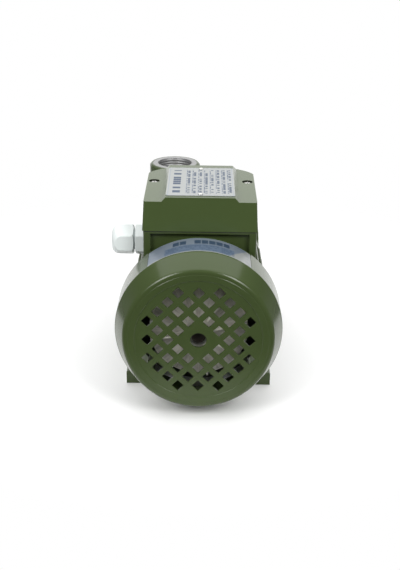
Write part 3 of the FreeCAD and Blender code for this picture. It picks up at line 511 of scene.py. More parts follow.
def make_finishes():
    """Every finish of the pump, by name"""
    tones = bpy.context.scene.pump_finish
    green, foil, ink = tuple(tones.paint), tuple(tones.foil), tuple(tones.print_blue)
    long_way, round_about = (1.0, 0.1, 1.0), (0.15, 6.0, 0.15)
    return {
        # painted shade darkens the fan cover, housing, box base and rear shield in the hollow round the fan
        "gloss_green": enamel("gloss_green", green, peel=0.05, gloss=0.12),
        # painted light: the lid's paint is the same green made 1.22 times lighter, and painted shade darkens
        # its screw wells
        "lit_lid_green": enamel("lit_lid_green", tone(green, 1.22), peel=0.05, gloss=0.14, shaded_hollow=screw_wells),
        "cast_green": enamel("cast_green", tone(green, 0.95), 0.20, 0.24, round_to=0.0009, wear=0.35,
                             cast=0.35),
        "iron_green": cast_iron_paint("iron_green", tone(green, 0.92)),
        "plate_print": plate_print("plate_print", foil, ink),
        "ring_print": ring_print("ring_print", foil, ink),
        "fan_plastic": fan_moulding("fan_plastic", tuple(tones.fan_grey)),
        "gland_plastic": moulded("gland_plastic", tuple(tones.gland_white), 0.33),
        "black_plastic": moulded("black_plastic", (0.022, 0.022, 0.024), 0.45, round_to=0.0005),
        "pale_plastic": moulded("pale_plastic", (0.60, 0.60, 0.57), 0.4, round_to=0.0004),
        "black_rubber": moulded("black_rubber", (0.018, 0.018, 0.018), 0.62, fleck=0.02),
        "carbon": moulded("carbon", (0.03, 0.03, 0.032), 0.35),
        "ceramic": moulded("ceramic", (0.78, 0.76, 0.70), 0.22),
        "zinc": metal("zinc", (0.66, 0.66, 0.64), 0.30, round_to=0.0004),
        "bright_steel": metal("bright_steel", (0.72, 0.73, 0.74), 0.18, long_way, 0.08, 0.0002, 0.05),
        "shaft_steel": shaft_steel("shaft_steel"),
        "turned_steel": metal("turned_steel", (0.62, 0.63, 0.64), 0.26, round_about, 0.2, 0.0002),
        "cast_aluminium": metal("cast_aluminium", (0.56, 0.56, 0.55), 0.42, scratch=0.35, round_to=0.0008,
                                stain=0.2, shaded_hollow=fan_hollow_shade),
        "turned_brass": metal("turned_brass", (0.66, 0.46, 0.19), 0.40, scratch=0.18, round_to=0.0004,
                              stain=0.25),
        "varnished_wire": varnished_wire("varnished_wire"),
        "laminated": laminated("laminated"),
    }


# ---- shaping helpers ----
def clear_choice():
    """Leaves edit mode with nothing selected"""
    if bpy.context.object and bpy.context.object.mode != "OBJECT":
        bpy.ops.object.mode_set(mode="OBJECT")
    bpy.ops.object.select_all(action="DESELECT")


def take(piece):
    """Selects one piece and makes it the active one"""
    clear_choice()
    piece.select_set(True)
    bpy.context.view_layer.objects.active = piece


def named(name):
    """Names the piece just added and brings it to the origin, unturned and unscaled"""
    piece = bpy.context.object
    piece.name = name
    piece.data.name = name
    bpy.ops.object.transform_apply(location=True, rotation=True, scale=True)
    return piece


def cylinder(name, radius, start, end, facets=48):
    """A round bar between two points"""
    clear_choice()
    line = Vector(end) - Vector(start)
    turn = line.to_track_quat("Z", "Y").to_euler()
    middle = (Vector(start) + Vector(end)) / 2
    sizes = {"vertices": facets, "radius": radius, "depth": line.length}
    bpy.ops.mesh.primitive_cylinder_add(**sizes, location=middle, rotation=turn)
    return named(name)


def cube(name, low, high):
    """A box between two corners"""
    clear_choice()
    low, high = Vector(low), Vector(high)
    bpy.ops.mesh.primitive_cube_add(size=1.0, location=(low + high) / 2, scale=high - low)
    return named(name)


def choose(piece, kind, wanted):
    """Selects the faces, edges or corners, in edit mode, that a test accepts"""
    bpy.ops.mesh.select_mode(type=kind)
    bpy.ops.mesh.select_all(action="DESELECT")
    mesh = bmesh.from_edit_mesh(piece.data)
    for item in {"FACE": mesh.faces, "EDGE": mesh.edges, "VERT": mesh.verts}[kind]:
        if wanted(item):
            item.select_set(True)
    mesh.select_flush_mode()
    bmesh.update_edit_mesh(piece.data)


def edit(piece):
    """Goes into edit mode on one piece"""
    take(piece)
    bpy.ops.object.mode_set(mode="EDIT")


def done():
    """Comes back out of edit mode"""
    bpy.ops.object.mode_set(mode="OBJECT")


def shape_with(piece, kind, **settings):
    """Adds one modifier and applies it"""
    take(piece)
    made = piece.modifiers.new(kind.title(), kind)
    for key, value in settings.items():
        setattr(made, key, value)
    bpy.ops.object.modifier_apply(modifier=made.name)


def carve(piece, cutter, operation="DIFFERENCE"):
    """Cuts away, adds or keeps the shared part of a second piece, and removes that piece"""
    shape_with(piece, "BOOLEAN", object=cutter, operation=operation, solver="EXACT")
    bpy.data.objects.remove(cutter)


def join(pieces, name):
    """Makes one piece of several"""
    clear_choice()
    for piece in pieces:
        piece.select_set(True)
    bpy.context.view_layer.objects.active = pieces[0]
    bpy.ops.object.join()
    pieces[0].name = name
    return pieces[0]


def soften(piece, width, segments, angle):
    """Rounds every edge sharper than an angle in degrees"""
    shape_with(piece, "BEVEL", width=width, segments=segments, limit_method="ANGLE",
               angle_limit=math.radians(angle), use_clamp_overlap=True, harden_normals=False)


def lathe(name, profile, axis=ALONG, centre=SHAFT, out=ACROSS, steps=96, sweep=2 * math.pi, closed=True):
    """Turns a chain of (radius, along) points about an axis, closing the chain if it isn't closed yet"""
    clear_choice()
    spots = [centre + out * radius + axis * along for radius, along in profile]
    bpy.ops.mesh.primitive_plane_add(size=MM, location=spots[0])
    piece = named(name)
    edit(piece)
    bpy.ops.mesh.select_mode(type="VERT")
    bpy.ops.mesh.select_all(action="SELECT")
    bpy.ops.mesh.merge(type="CENTER")
    if closed:
        spots.append(spots[0])
    for before, after in zip(spots, spots[1:]):
        bpy.ops.mesh.extrude_vertices_move(TRANSFORM_OT_translate={"value": after - before})
    bpy.ops.mesh.select_all(action="SELECT")
    bpy.ops.mesh.spin(steps=steps, angle=-sweep, center=centre, axis=axis)
    bpy.ops.mesh.select_all(action="SELECT")
    bpy.ops.mesh.remove_doubles(threshold=1e-6)
    if sweep < 6.0:
        bpy.ops.mesh.fill_holes(sides=0)
    bpy.ops.mesh.normals_make_consistent(inside=False)
    done()
    return piece


def corner(before, point, after, radius, segments):
    """Points of a round that replaces a profile's sharp corner"""
    point, before, after = Vector(point), Vector(before), Vector(after)
    first, second = (before - point).normalized(), (after - point).normalized()
    half = math.acos(max(-1.0, min(1.0, first.dot(second)))) / 2
    reach = radius / math.tan(half)
    heart = point + (first + second).normalized() * (radius / math.sin(half))
    begin, finish = point + first * reach - heart, point + second * reach - heart
    rounded = []
    for step in range(segments + 1):
        rounded.append(tuple(heart + begin.slerp(finish, step / segments, begin) * radius))
    return rounded


def moved_copy(piece, move, name):
    """A copy with its own mesh, moved by a matrix"""
    made = piece.copy()
    made.data = piece.data.copy()
    bpy.context.collection.objects.link(made)
    made.data.transform(move)
    made.name = name
    return made


def turned_copy(piece, degrees, name):
    """A copy turned backwards about the shaft"""
    turn = Matrix.Rotation(-math.radians(degrees), 4, "Y")
    return moved_copy(piece, Matrix.Translation(SHAFT) @ turn @ Matrix.Translation(-SHAFT), name)


def hand_over(piece, body, node, finish, smooth=32.0):
    """Finishes a piece: shading, material, body, and the solid it stands for"""
    take(piece)
    bpy.ops.object.shade_smooth_by_angle(angle=math.radians(smooth))
    shape_with(piece, "WEIGHTED_NORMAL", keep_sharp=True, weight=60)
    piece.data.materials.clear()
    piece.data.materials.append(FINISHES[finish])
    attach(piece, body)
    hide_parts(node)


FINISHES = {}
NODE_FINISHES = {
    "gloss_green": ("fan_cover",),
    "lit_lid_green": ("box_lid",),
    "cast_green": ("motor_housing", "box_base"),
    "iron_green": ("pump_casing", "pump_bracket"),
    "cast_aluminium": ("rear_shield", "rotor_end_rings"),
    "laminated": ("stator_core", "rotor_core"),
    "varnished_wire": ("stator_windings",),
    "shaft_steel": ("shaft",),
    "turned_steel": ("seal_spring", "impeller_clip", "impeller_key"),
    "bright_steel": tuple(end + part for end in ("rear_bearing_", "front_bearing_")
                          for part in ("inner_race", "outer_race", "balls")),
    "turned_brass": ("rear_bearing_cage", "front_bearing_cage", "impeller", "priming_plug", "drain_plug",
                     "terminal_screws", "earth_screw"),
    "fan_plastic": ("fan",),
    "black_plastic": ("terminal_block",),
    "pale_plastic": ("capacitor",),
    "gland_plastic": ("gland_nut", "gland_body"),
    "black_rubber": ("slinger", "casing_seal_ring", "box_gasket", "gland_seal", "priming_washer",
                     "drain_washer"),
    "carbon": ("seal_ring",),
    "ceramic": ("seal_seat",),
    "plate_print": ("nameplate",),
    "ring_print": ("cover_label",),
    "zinc": STEEL_NODES,
}


# ---- operators ----
class PUMP_OT_finishes(Operator):
    """Gives every machined or cast solid its finish"""
    bl_idname = "pump.finishes"
    bl_label = "Apply finishes"

    def execute(self, context):
        FINISHES.update(make_finishes())
        for finish, names in NODE_FINISHES.items():
            for name in names:
                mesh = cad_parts[name].data
                mesh.materials.clear()
                mesh.materials.append(FINISHES[finish])
        return {"FINISHED"}


class PUMP_OT_fan_cover(Operator):
    """Turns the fan cover, cuts its grille and the sunk place for its label"""
    bl_idname = "pump.fan_cover"
    bl_label = "Fan cover"

    def execute(self, context):
        sizes = context.scene.pump_cover
        low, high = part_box("fan_cover")
        face, rim = low.y, high.y
        skirt = high.x
        panel = sizes.panel_radius
        outside = [(panel, face + 0.5 * MM), (panel + 0.12 * MM, face + 0.08 * MM), (panel + 0.5 * MM, face),
                   (panel + 4.8 * MM, face), (panel + 5.0 * MM, face + 0.16 * MM),
                   (panel + 5.4 * MM, face + 0.1 * MM)]
        shoulder = (56.6 * MM, face + 0.1 * MM)
        flare = (skirt - 0.5 * MM, face + 18.3 * MM)
        outside += corner(outside[-1], shoulder, flare, 3.4 * MM, 9)
        outside += [(61.6 * MM, face + 12.2 * MM), flare, (skirt - 0.05 * MM, face + 18.9 * MM),
                    (skirt, face + 19.6 * MM), (skirt, rim - 0.6 * MM), (skirt - 0.5 * MM, rim)]
        inside = [(skirt - 1.6 * MM, rim), (skirt - 2.0 * MM, rim - 0.5 * MM),
                  (skirt - 2.0 * MM, face + 20.3 * MM), (skirt - 2.4 * MM, face + 18.6 * MM),
                  (54.9 * MM, face + 3.0 * MM), (53.4 * MM, face + 2.0 * MM), (panel, face + 2.0 * MM)]
        piece = lathe("fan_cover_shell", outside + inside, steps=sizes.turns, closed=False)
        edit(piece)
        for place in (face + 0.5 * MM, face + 2.0 * MM):
            choose(piece, "EDGE", lambda edge: edge.is_boundary
                   and all(abs(vert.co.y - place) < 1e-5 for vert in edge.verts))
            bpy.ops.mesh.edge_face_add()
        bpy.ops.mesh.select_all(action="SELECT")
        bpy.ops.mesh.normals_make_consistent(inside=False)
        done()
        carve(piece, self.grille(sizes, face))
        soften(piece, sizes.edge_round, 2, 50.0)
        carve(piece, self.label_place(skirt))
        hand_over(piece, "frame", "fan_cover", "gloss_green")
        return {"FINISHED"}

    @staticmethod
    def grille(sizes, face):
        """Square bars set on the corner, one for each hole, and the round one in the middle"""
        half = sizes.hole_reach / math.sqrt(2)
        pattern = cube("grille_cutter", (-half, face - MM, -half), (half, face + 4 * MM, half))
        pattern.data.transform(Matrix.Rotation(math.radians(45), 4, "Y"))
        cutters = []
        for column in range(-5, 6):
            for row in range(-5, 6):
                far = column * column + row * row > 29
                near = abs(column) + abs(row) <= 1
                if (column + row) % 2 == 0 or far or near:
                    continue
                shift = SHAFT + Vector((column * sizes.grille_pitch, 0.0, row * sizes.grille_pitch))
                cutters.append(moved_copy(pattern, Matrix.Translation(shift), "grille_hole"))
        bpy.data.objects.remove(pattern)
        start, end = SHAFT + ALONG * (face - MM), SHAFT + ALONG * (face + 4 * MM)
        cutters.append(cylinder("grille_middle", 6.0 * MM, start, end, 40))
        return join(cutters, "grille_cutter")

    @staticmethod
    def label_place(skirt):
        """The sunk place, a little wider than the label all round"""
        low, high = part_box("cover_label")
        half = math.asin(min(1.0, (high.x + 0.15 * MM) / (skirt - 0.2 * MM)))
        profile = [(skirt - 0.4 * MM, low.y - 0.15 * MM), (skirt + MM, low.y - 0.15 * MM),
                   (skirt + MM, high.y + 0.15 * MM), (skirt - 0.4 * MM, high.y + 0.15 * MM)]
        out = Vector((-math.sin(half), 0.0, math.cos(half)))
        return lathe("label_cutter", profile, out=out, steps=48, sweep=2 * half)


class PUMP_OT_cover_label(Operator):
    """Curved foil in the sunk place on the cover"""
    bl_idname = "pump.cover_label"
    bl_label = "Cover label"

    def execute(self, context):
        low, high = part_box("cover_label")
        outer = high.z - SHAFT.z
        half = math.asin(min(1.0, high.x / outer))
        profile = [(outer - 0.3 * MM, low.y), (outer - 0.05 * MM, low.y), (outer, low.y + 0.08 * MM),
                   (outer, high.y - 0.08 * MM), (outer - 0.05 * MM, high.y), (outer - 0.3 * MM, high.y)]
        out = Vector((-math.sin(half), 0.0, math.cos(half)))
        piece = lathe("cover_label_foil", profile, out=out, steps=64, sweep=2 * half)
        hand_over(piece, "frame", "cover_label", "ring_print")
        return {"FINISHED"}


class PUMP_OT_fan(Operator):
    """Moulded fan: hub, back plate and blades in one piece"""
    bl_idname = "pump.fan"
    bl_label = "Fan"

    def execute(self, context):
        low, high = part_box("fan")
        radius = high.x
        plate = FAN_PLATE
        hub = [(5.6 * MM, low.y), (9.2 * MM, low.y), (10.0 * MM, low.y + 0.9 * MM),
               (10.4 * MM, plate - 3.2 * MM), (12.0 * MM, plate - 2.1 * MM), (14.0 * MM, plate - 1.8 * MM)]
        rim = [(radius - 0.6 * MM, plate - 1.8 * MM), (radius, plate - 1.2 * MM), (radius, plate + 2.6 * MM),
               (radius - 0.4 * MM, plate + 3.0 * MM), (radius - 1.5 * MM, plate + 3.0 * MM),
               (radius - 1.7 * MM, plate)]
        boss = [(11.0 * MM, plate), (10.2 * MM, plate + 1.0 * MM), (9.8 * MM, high.y), (5.6 * MM, high.y)]
        disc = lathe("fan_moulding", hub + rim + boss, steps=96)
        pattern = self.blade(radius, plate)
        count = context.scene.pump_cover.blades
        for step in range(count):
            carve(disc, turned_copy(pattern, 360 * step / count + 11, "blade"), "UNION")
        bpy.data.objects.remove(pattern)
        soften(disc, 0.35 * MM, 2, 50.0)
        hand_over(disc, "rotor", "fan", "fan_plastic")
        return {"FINISHED"}

    @staticmethod
    def blade(radius, plate):
        """One straight blade, lower at its tip than at the hub"""
        front = plate - 10.6 * MM
        blade = cube("blade", (9.0 * MM, front, -0.6 * MM), (radius - 0.7 * MM, plate - 0.6 * MM, 0.6 * MM))
        edit(blade)
        choose(blade, "VERT", lambda vert: vert.co.x > 20 * MM and vert.co.y < front + MM)
        bpy.ops.transform.translate(value=(0.0, 3.0 * MM, 0.0))
        choose(blade, "VERT", lambda vert: vert.co.x < 20 * MM and vert.co.y < front + MM)
        bpy.ops.transform.translate(value=(0.0, 1.6 * MM, 0.0))
        bpy.ops.mesh.select_all(action="SELECT")
        bpy.ops.mesh.subdivide(number_cuts=3)
        done()
        blade.data.transform(Matrix.Translation(SHAFT))
        return blade


class PUMP_OT_lid(Operator):
    """Terminal box lid with its raised middle, flattened rear corners and sunk screw places"""
    bl_idname = "pump.lid"
    bl_label = "Terminal box lid"

    def execute(self, context):
        sizes = context.scene.pump_box
        low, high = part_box("box_lid")
        shoulder = high.z - 3.5 * MM
        piece = cube("box_lid_moulding", low, (high.x, high.y, shoulder))
        edit(piece)
        self.corners(piece, sizes, low)
        self.plateau(piece, sizes, high, shoulder)
        choose(piece, "VERT", lambda vert: vert.co.z > shoulder - MM)
        middle = (0, (low.y + high.y) / 2, 0)
        bpy.ops.transform.resize(value=(0.9715, 0.985, 1), center_override=middle)
        done()
        shape_with(piece, "SOLIDIFY", thickness=2.4 * MM, offset=-1.0)
        self.screw_wells(piece, low.z, shoulder)
        soften(piece, sizes.edge_round, 3, 28.0)
        hand_over(piece, "frame", "box_lid", "lit_lid_green", 40.0)
        return {"FINISHED"}

    @staticmethod
    def corners(piece, sizes, low):
        """Takes off the upright corners and opens the bottom"""
        def upright(edge):
            return abs(edge.verts[0].co.z - edge.verts[1].co.z) > MM
        choose(piece, "EDGE", lambda edge: upright(edge) and edge.verts[0].co.y > 0)
        bpy.ops.mesh.bevel(offset=sizes.back_round, segments=12, profile=0.36)
        choose(piece, "EDGE", lambda edge: upright(edge) and edge.verts[0].co.y < low.y + MM)
        bpy.ops.mesh.bevel(offset=sizes.front_round, segments=4)
        choose(piece, "FACE", lambda face: face.normal.z < -0.9)
        bpy.ops.mesh.delete(type="FACE")

    @staticmethod
    def plateau(piece, sizes, high, shoulder):
        """Raises the middle of the top, sloping at both sides and at the back"""
        foot = sizes.plateau_half + sizes.plateau_slope
        for side in (-1, 1):
            bpy.ops.mesh.select_all(action="SELECT")
            bpy.ops.mesh.bisect(plane_co=(side * foot, 0, 0), plane_no=(1, 0, 0))

        def middle(face):
            return face.normal.z > 0.9 and abs(face.calc_center_median().x) < foot - MM
        choose(piece, "FACE", middle)
        bpy.ops.mesh.extrude_region_move(TRANSFORM_OT_translate={"value": (0, 0, high.z - shoulder)})
        bpy.ops.transform.resize(value=(sizes.plateau_half / foot, 1, 1), center_override=(0, 0, high.z))
        choose(piece, "VERT", lambda vert: vert.co.z > high.z - MM and vert.co.y > high.y - 8 * MM)
        bpy.ops.transform.translate(value=(0, -2.6 * MM, 0))

    @staticmethod
    def screw_wells(piece, bottom, shoulder):
        """A column for each screw, sunk for its head and bored for its shank"""
        away, along = (place * MM for place in LID_SCREW_SPOT)
        for x in (-away, away):
            column = (x, along, bottom + 0.2 * MM), (x, along, shoulder - 0.6 * MM)
            carve(piece, cylinder("well", 5.8 * MM, *column, 40), "UNION")
        for x in (-away, away):
            sunk = (x, along, shoulder - 4.5 * MM), (x, along, shoulder + 5 * MM)
            carve(piece, cylinder("recess", 4.35 * MM, *sunk, 40))
            carve(piece, cylinder("bore", 2.2 * MM, (x, along, bottom - MM), (x, along, shoulder), 24))


class PUMP_OT_lid_screws(Operator):
    """Domed lid screws with a cross recess"""
    bl_idname = "pump.lid_screws"
    bl_label = "Lid screws"

    def execute(self, context):
        low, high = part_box("lid_screws")
        head = context.scene.pump_box.screw_head
        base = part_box("box_lid")[1].z - 8.0 * MM
        screws = []
        for x in (low.x + head, high.x - head):
            centre = Vector((x, (low.y + high.y) / 2, base))
            profile = [(0.0, -18 * MM), (1.6 * MM, -18 * MM), (1.75 * MM, -17 * MM), (1.75 * MM, 0.0),
                       (head - 0.2 * MM, 0.0), (head, 0.25 * MM), (head - 0.05 * MM, 1.9 * MM),
                       (head - 0.5 * MM, 2.9 * MM), (head - 1.4 * MM, 3.6 * MM), (head - 2.6 * MM, 3.95 * MM),
                       (0.0, 4.05 * MM)]
            screw = lathe("lid_screw", profile, axis=UP, centre=centre, steps=40, closed=False)
            for long_way in (ACROSS, ALONG):
                short_way = ALONG if long_way is ACROSS else ACROSS
                reach = long_way * 2.1 * MM + short_way * 0.45 * MM
                carve(screw, cube("cross", centre + UP * 2.6 * MM - reach, centre + UP * 5 * MM + reach))
            screws.append(screw)
        piece = join(screws, "lid_screw_pair")
        hand_over(piece, "frame", "lid_screws", "zinc")
        return {"FINISHED"}


class PUMP_OT_nameplate(Operator):
    """Foil plate on the lid, with its two rivets"""
    bl_idname = "pump.nameplate"
    bl_label = "Nameplate"

    def execute(self, context):
        low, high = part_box("nameplate")
        piece = cube("nameplate_foil", low, high)
        edit(piece)
        choose(piece, "EDGE", lambda edge: abs(edge.verts[0].co.z - edge.verts[1].co.z) > 0.3 * MM)
        bpy.ops.mesh.bevel(offset=1.6 * MM, segments=6)
        choose(piece, "FACE", lambda face: face.normal.z > 0.9)
        bpy.ops.mesh.inset(thickness=1.1 * MM)
        bpy.ops.transform.translate(value=(0, 0, -0.18 * MM))
        done()
        soften(piece, 0.12 * MM, 2, 30.0)
        hand_over(piece, "frame", "nameplate", "plate_print")
        rivet_low, rivet_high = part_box("nameplate_rivets")
        rivets = []
        for y in (rivet_low.y + 1.8 * MM, rivet_high.y - 1.8 * MM):
            centre = Vector((0.0, y, high.z))
            profile = [(0.0, -0.6 * MM), (1.1 * MM, -0.6 * MM), (1.1 * MM, -0.05 * MM),
                       (1.8 * MM, -0.02 * MM), (1.75 * MM, 0.35 * MM), (1.3 * MM, 0.75 * MM),
                       (0.7 * MM, 0.92 * MM), (0.0, 0.97 * MM)]
            rivets.append(lathe("rivet", profile, axis=UP, centre=centre, steps=28, closed=False))
        hand_over(join(rivets, "nameplate_rivet_pair"), "frame", "nameplate_rivets", "zinc")
        return {"FINISHED"}


class PUMP_OT_gland(Operator):
    """Domed nut and collar of the cable gland"""
    bl_idname = "pump.gland"
    bl_label = "Cable gland"

    def execute(self, context):
        low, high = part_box("gland_nut")
        middle = Vector((0.0, (low.y + high.y) / 2, (low.z + high.z) / 2))
        flat = (high.z - low.z) / 2
        self.nut(middle, flat, low.x, high.x)
        self.body(middle, flat, low.x + 7.0 * MM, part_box("box_base")[0].x)
        return {"FINISHED"}

    def nut(self, middle, flat, tip, root):
        """A dome kept only inside a hexagon, open at the mouth"""
        outside = [(5.3 * MM, tip + 0.9 * MM), (5.7 * MM, tip + 0.2 * MM), (6.5 * MM, tip),
                   (8.4 * MM, tip + 0.4 * MM), (10.0 * MM, tip + 1.5 * MM), (11.2 * MM, tip + 3.1 * MM),
                   (12.0 * MM, tip + 5.0 * MM), (12.45 * MM, tip + 6.8 * MM), (12.45 * MM, root - 1.2 * MM),
                   (11.6 * MM, root)]
        inside = [(8.7 * MM, root), (8.7 * MM, tip + 3.5 * MM), (5.3 * MM, tip + 3.5 * MM)]
        nut = lathe("gland_nut_moulding", outside + inside, axis=ACROSS, centre=middle, out=UP, steps=72)
        carve(nut, self.prism(flat, tip - 2 * MM, root + 2 * MM, middle), "INTERSECT")
        soften(nut, 0.35 * MM, 2, 24.0)
        hand_over(nut, "frame", "gland_nut", "gland_plastic", 25.0)

    def body(self, middle, flat, start, wall):
        """The collar against the box's wall and the thread that the nut runs on"""
        collar = self.prism(flat, wall - 7.6 * MM, wall, middle)
        soften(collar, 0.5 * MM, 3, 30.0)
        profile = [(6.8 * MM, start), (8.4 * MM, start)]
        turn = start
        while turn < wall - 8.4 * MM:
            profile += [(8.6 * MM, turn + 0.35 * MM), (8.6 * MM, turn + 0.6 * MM)]
            profile.append((7.9 * MM, turn + 1.1 * MM))
            turn += 1.4 * MM
        profile += [(8.6 * MM, wall - 7.0 * MM), (9.1 * MM, wall + 2.6 * MM), (6.8 * MM, wall + 2.6 * MM)]
        thread = lathe("gland_thread", profile, axis=ACROSS, centre=middle, out=UP, steps=48)
        hole = middle + ACROSS * (wall - 9 * MM), middle + ACROSS * (wall + MM)
        carve(collar, cylinder("bore", 7.5 * MM, *hole, 48))
        body = join([collar, thread], "gland_body_moulding")
        hand_over(body, "frame", "gland_body", "gland_plastic", 30.0)

    @staticmethod
    def prism(flat, start, end, middle):
        """A hexagon bar along the gland's axis"""
        corner_radius = flat / math.cos(math.pi / 6)
        return cylinder("prism", corner_radius, middle + ACROSS * start, middle + ACROSS * end, 6)


class PUMP_OT_cover_screws(Operator):
    """Slotted pan heads that hold the fan cover"""
    bl_idname = "pump.cover_screws"
    bl_label = "Cover screws"

    def execute(self, context):
        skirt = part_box("fan_cover")[1].x
        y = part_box("cover_screws")[1].y - 3.2 * MM
        centre = SHAFT + ALONG * y
        profile = [(0.0, skirt - 7 * MM), (1.4 * MM, skirt - 7 * MM), (1.45 * MM, skirt), (3.0 * MM, skirt),
                   (3.2 * MM, skirt + 0.3 * MM), (3.1 * MM, skirt + 1.1 * MM), (2.6 * MM, skirt + 1.6 * MM),
                   (1.4 * MM, skirt + 1.9 * MM), (0.0, skirt + 1.95 * MM)]
        pattern = lathe("cover_screw", profile, axis=ACROSS, centre=centre, out=ALONG, steps=32, closed=False)
        low = centre + Vector((skirt + 1.0 * MM, -4 * MM, -0.4 * MM))
        carve(pattern, cube("slot", low, low + Vector((3 * MM, 8 * MM, 0.8 * MM))))
        screws = []
        for angle in (200.0, 270.0, 340.0):
            screws.append(turned_copy(pattern, angle, "cover_screw"))
        bpy.data.objects.remove(pattern)
        hand_over(join(screws, "cover_screw_set"), "frame", "cover_screws", "zinc")
        return {"FINISHED"}


class PUMP_OT_casing_bolts(Operator):
    """Hexagon bolts with washers on the pump head's flange"""
    bl_idname = "pump.casing_bolts"
    bl_label = "Casing bolts"

    def execute(self, context):
        low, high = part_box("casing_bolts")
        bolts = []
        for angle in (60.0, 190.0, 255.0, 320.0):
            turn = math.radians(angle)
            centre = SHAFT + (ACROSS * math.cos(turn) + UP * math.sin(turn)) * 45.0 * MM
            bolts += self.bolt(centre, low.y, high.y - 4.0 * MM)
        hand_over(join(bolts, "casing_bolt_set"), "frame", "casing_bolts", "zinc")
        return {"FINISHED"}

    @staticmethod
    def bolt(centre, end, base):
        """A domed hexagon head, its washer and its shank"""
        head = cylinder("hex", 5.77 * MM, centre + ALONG * (base + 0.9 * MM),
                        centre + ALONG * (base + 4.0 * MM), 6)
        outline = [(0.0, base + 0.5 * MM), (6.2 * MM, base + 0.5 * MM), (6.2 * MM, base + 3.3 * MM),
                   (5.0 * MM, base + 4.0 * MM), (0.0, base + 4.05 * MM)]
        carve(head, lathe("dome", outline, centre=centre, steps=36, closed=False), "INTERSECT")
        soften(head, 0.2 * MM, 2, 35.0)
        ring = [(3.0 * MM, base), (6.3 * MM, base), (6.4 * MM, base + 0.3 * MM), (6.2 * MM, base + 0.9 * MM),
                (3.0 * MM, base + 0.9 * MM)]
        washer = lathe("washer", ring, centre=centre, steps=36)
        shank = cylinder("shank", 2.95 * MM, centre + ALONG * end, centre + ALONG * (base + MM), 24)
        return [head, washer, shank]


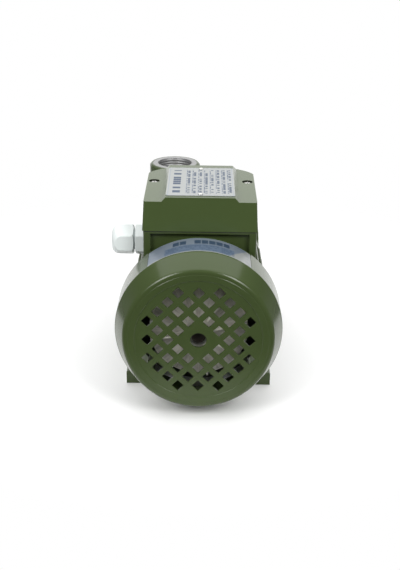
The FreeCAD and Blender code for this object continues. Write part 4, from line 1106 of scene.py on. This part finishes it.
class PUMP_OT_stage(Operator):
    """Pale floor, soft studio light and the camera"""
    bl_idname = "pump.stage"
    bl_label = "Stage"

    def execute(self, context):
        self.floor()
        self.world(context)
        self.lamp("key_left", (-0.62, -0.80, 0.72), 0.50, 8.0)
        self.lamp("key_right", (0.62, -0.78, 0.74), 0.45, 8.0)
        self.lamp("top_soft", (0.0, 0.35, 1.30), 2.2, 20.0)
        self.camera(context)
        context.scene.view_settings.view_transform = "Standard"
        return {"FINISHED"}

    @staticmethod
    def floor():
        """A pale floor that keeps the shadow near the pump and fades out round it"""
        clear_choice()
        bpy.ops.mesh.primitive_plane_add(size=12.0, location=(0.0, 2.0, -0.0002))
        floor = named("floor")
        finish = Finish("floor_white")
        x, y, _ = finish.place()
        far = reach(x, y - 120.0).step(245.0, 350.0)
        clear = finish.node("ShaderNodeBsdfTransparent")
        finish.set(colour=(0.93, 0.93, 0.93), rough=0.9)
        painted = Sum(finish, finish.shader.outputs[0])
        faded = finish.node("ShaderNodeMixShader", values={0: far, 1: painted, 2: clear})
        finish.feed(finish.tree.nodes["Material Output"].inputs["Surface"], faded)
        floor.data.materials.append(finish.material)

    @staticmethod
    def lamp(name, place, size, power):
        """A square soft lamp turned towards the pump"""
        lamp = bpy.data.lights.new(name, "AREA")
        lamp.shape = "SQUARE"
        lamp.size = size
        lamp.energy = power
        holder = bpy.data.objects.new(name, lamp)
        bpy.context.scene.collection.objects.link(holder)
        holder.location = place
        holder.rotation_euler = (UP * 0.07 - Vector(place)).to_track_quat("-Z", "Y").to_euler()

    @staticmethod
    def world(context):
        """White to the eye, and a bright wall behind a darker room in reflections"""
        world = bpy.data.worlds.new("studio")
        context.scene.world = world
        world.use_nodes = True
        sky = Sheet(world.node_tree)
        seen_straight = sky.node("ShaderNodeLightPath", out="Is Camera Ray")
        seen = seen_straight.op("MAXIMUM", sky.node("ShaderNodeLightPath", out="Is Transmission Ray"))
        way = sky.node("ShaderNodeTexCoord", out="Generated")
        split = sky.node("ShaderNodeSeparateXYZ", values={0: way}).socket.node.outputs
        side, back, up = (Sum(sky, socket) for socket in split)
        wall = back.step(0.60, 0.92) * 1.12
        ends = side.op("ABSOLUTE").step(0.60, 0.98) * (1.0 - up.step(-0.1, 0.35)) * 0.30
        room = wall.op("MAXIMUM", ends) + up.step(0.2, 1.0) * 0.25 + 0.10
        ground = world.node_tree.nodes["Background"]
        sky.feed(ground.inputs["Color"], (1.0, 1.0, 1.0))
        sky.feed(ground.inputs["Strength"], seen + (1.0 - seen) * room)

    @staticmethod
    def camera(context):
        """Looks along the shaft from the fan's end and down"""
        data = bpy.data.cameras.new("camera")
        data.lens = 61.23
        data.clip_start = 0.01
        holder = bpy.data.objects.new("camera", data)
        context.scene.collection.objects.link(holder)
        yaw, pitch, roll = math.radians(-0.20), math.radians(22.95), math.radians(0.69)
        ahead = Vector((math.sin(yaw) * math.cos(pitch), math.cos(yaw) * math.cos(pitch), -math.sin(pitch)))
        right = Vector((math.cos(yaw), -math.sin(yaw), 0.0))
        above = right.cross(ahead)
        turned_right = right * math.cos(roll) + above * math.sin(roll)
        turned_up = above * math.cos(roll) - right * math.sin(roll)
        spin = Matrix((turned_right, turned_up, -ahead)).transposed().to_4x4()
        holder.matrix_world = Matrix.Translation((0.003, -0.75658, 0.38881)) @ spin
        context.scene.camera = holder


class PUMP_PT_panel(Panel):
    """Sidebar list of the pump's pieces"""
    bl_idname = "PUMP_PT_panel"
    bl_label = "Pump"
    bl_space_type = "VIEW_3D"
    bl_region_type = "UI"
    bl_category = "Pump"

    def draw(self, context):
        for group in (context.scene.pump_cover, context.scene.pump_box, context.scene.pump_finish):
            for name in group.__annotations__:
                self.layout.prop(group, name)
        for step in STEPS:
            self.layout.operator(step.bl_idname)


STEPS = (PUMP_OT_finishes, PUMP_OT_fan_cover, PUMP_OT_cover_label, PUMP_OT_fan, PUMP_OT_lid,
         PUMP_OT_lid_screws, PUMP_OT_nameplate, PUMP_OT_gland, PUMP_OT_cover_screws, PUMP_OT_casing_bolts,
         PUMP_OT_stage)
GROUPS = (CoverSettings, BoxSettings, FinishSettings)


def register():
    """Makes the settings, operators and panel known"""
    for part in GROUPS + STEPS + (PUMP_PT_panel,):
        bpy.utils.register_class(part)
    bpy.types.Scene.pump_cover = PointerProperty(type=CoverSettings)
    bpy.types.Scene.pump_box = PointerProperty(type=BoxSettings)
    bpy.types.Scene.pump_finish = PointerProperty(type=FinishSettings)


def unregister():
    """Takes them away again"""
    del bpy.types.Scene.pump_finish
    del bpy.types.Scene.pump_box
    del bpy.types.Scene.pump_cover
    for part in reversed(GROUPS + STEPS + (PUMP_PT_panel,)):
        bpy.utils.unregister_class(part)


def main():
    """Runs every operator in order"""
    register()
    for step in STEPS:
        group, name = step.bl_idname.split(".")
        getattr(getattr(bpy.ops, group), name)()
    clear_choice()


if __name__ == "__main__":
    main()
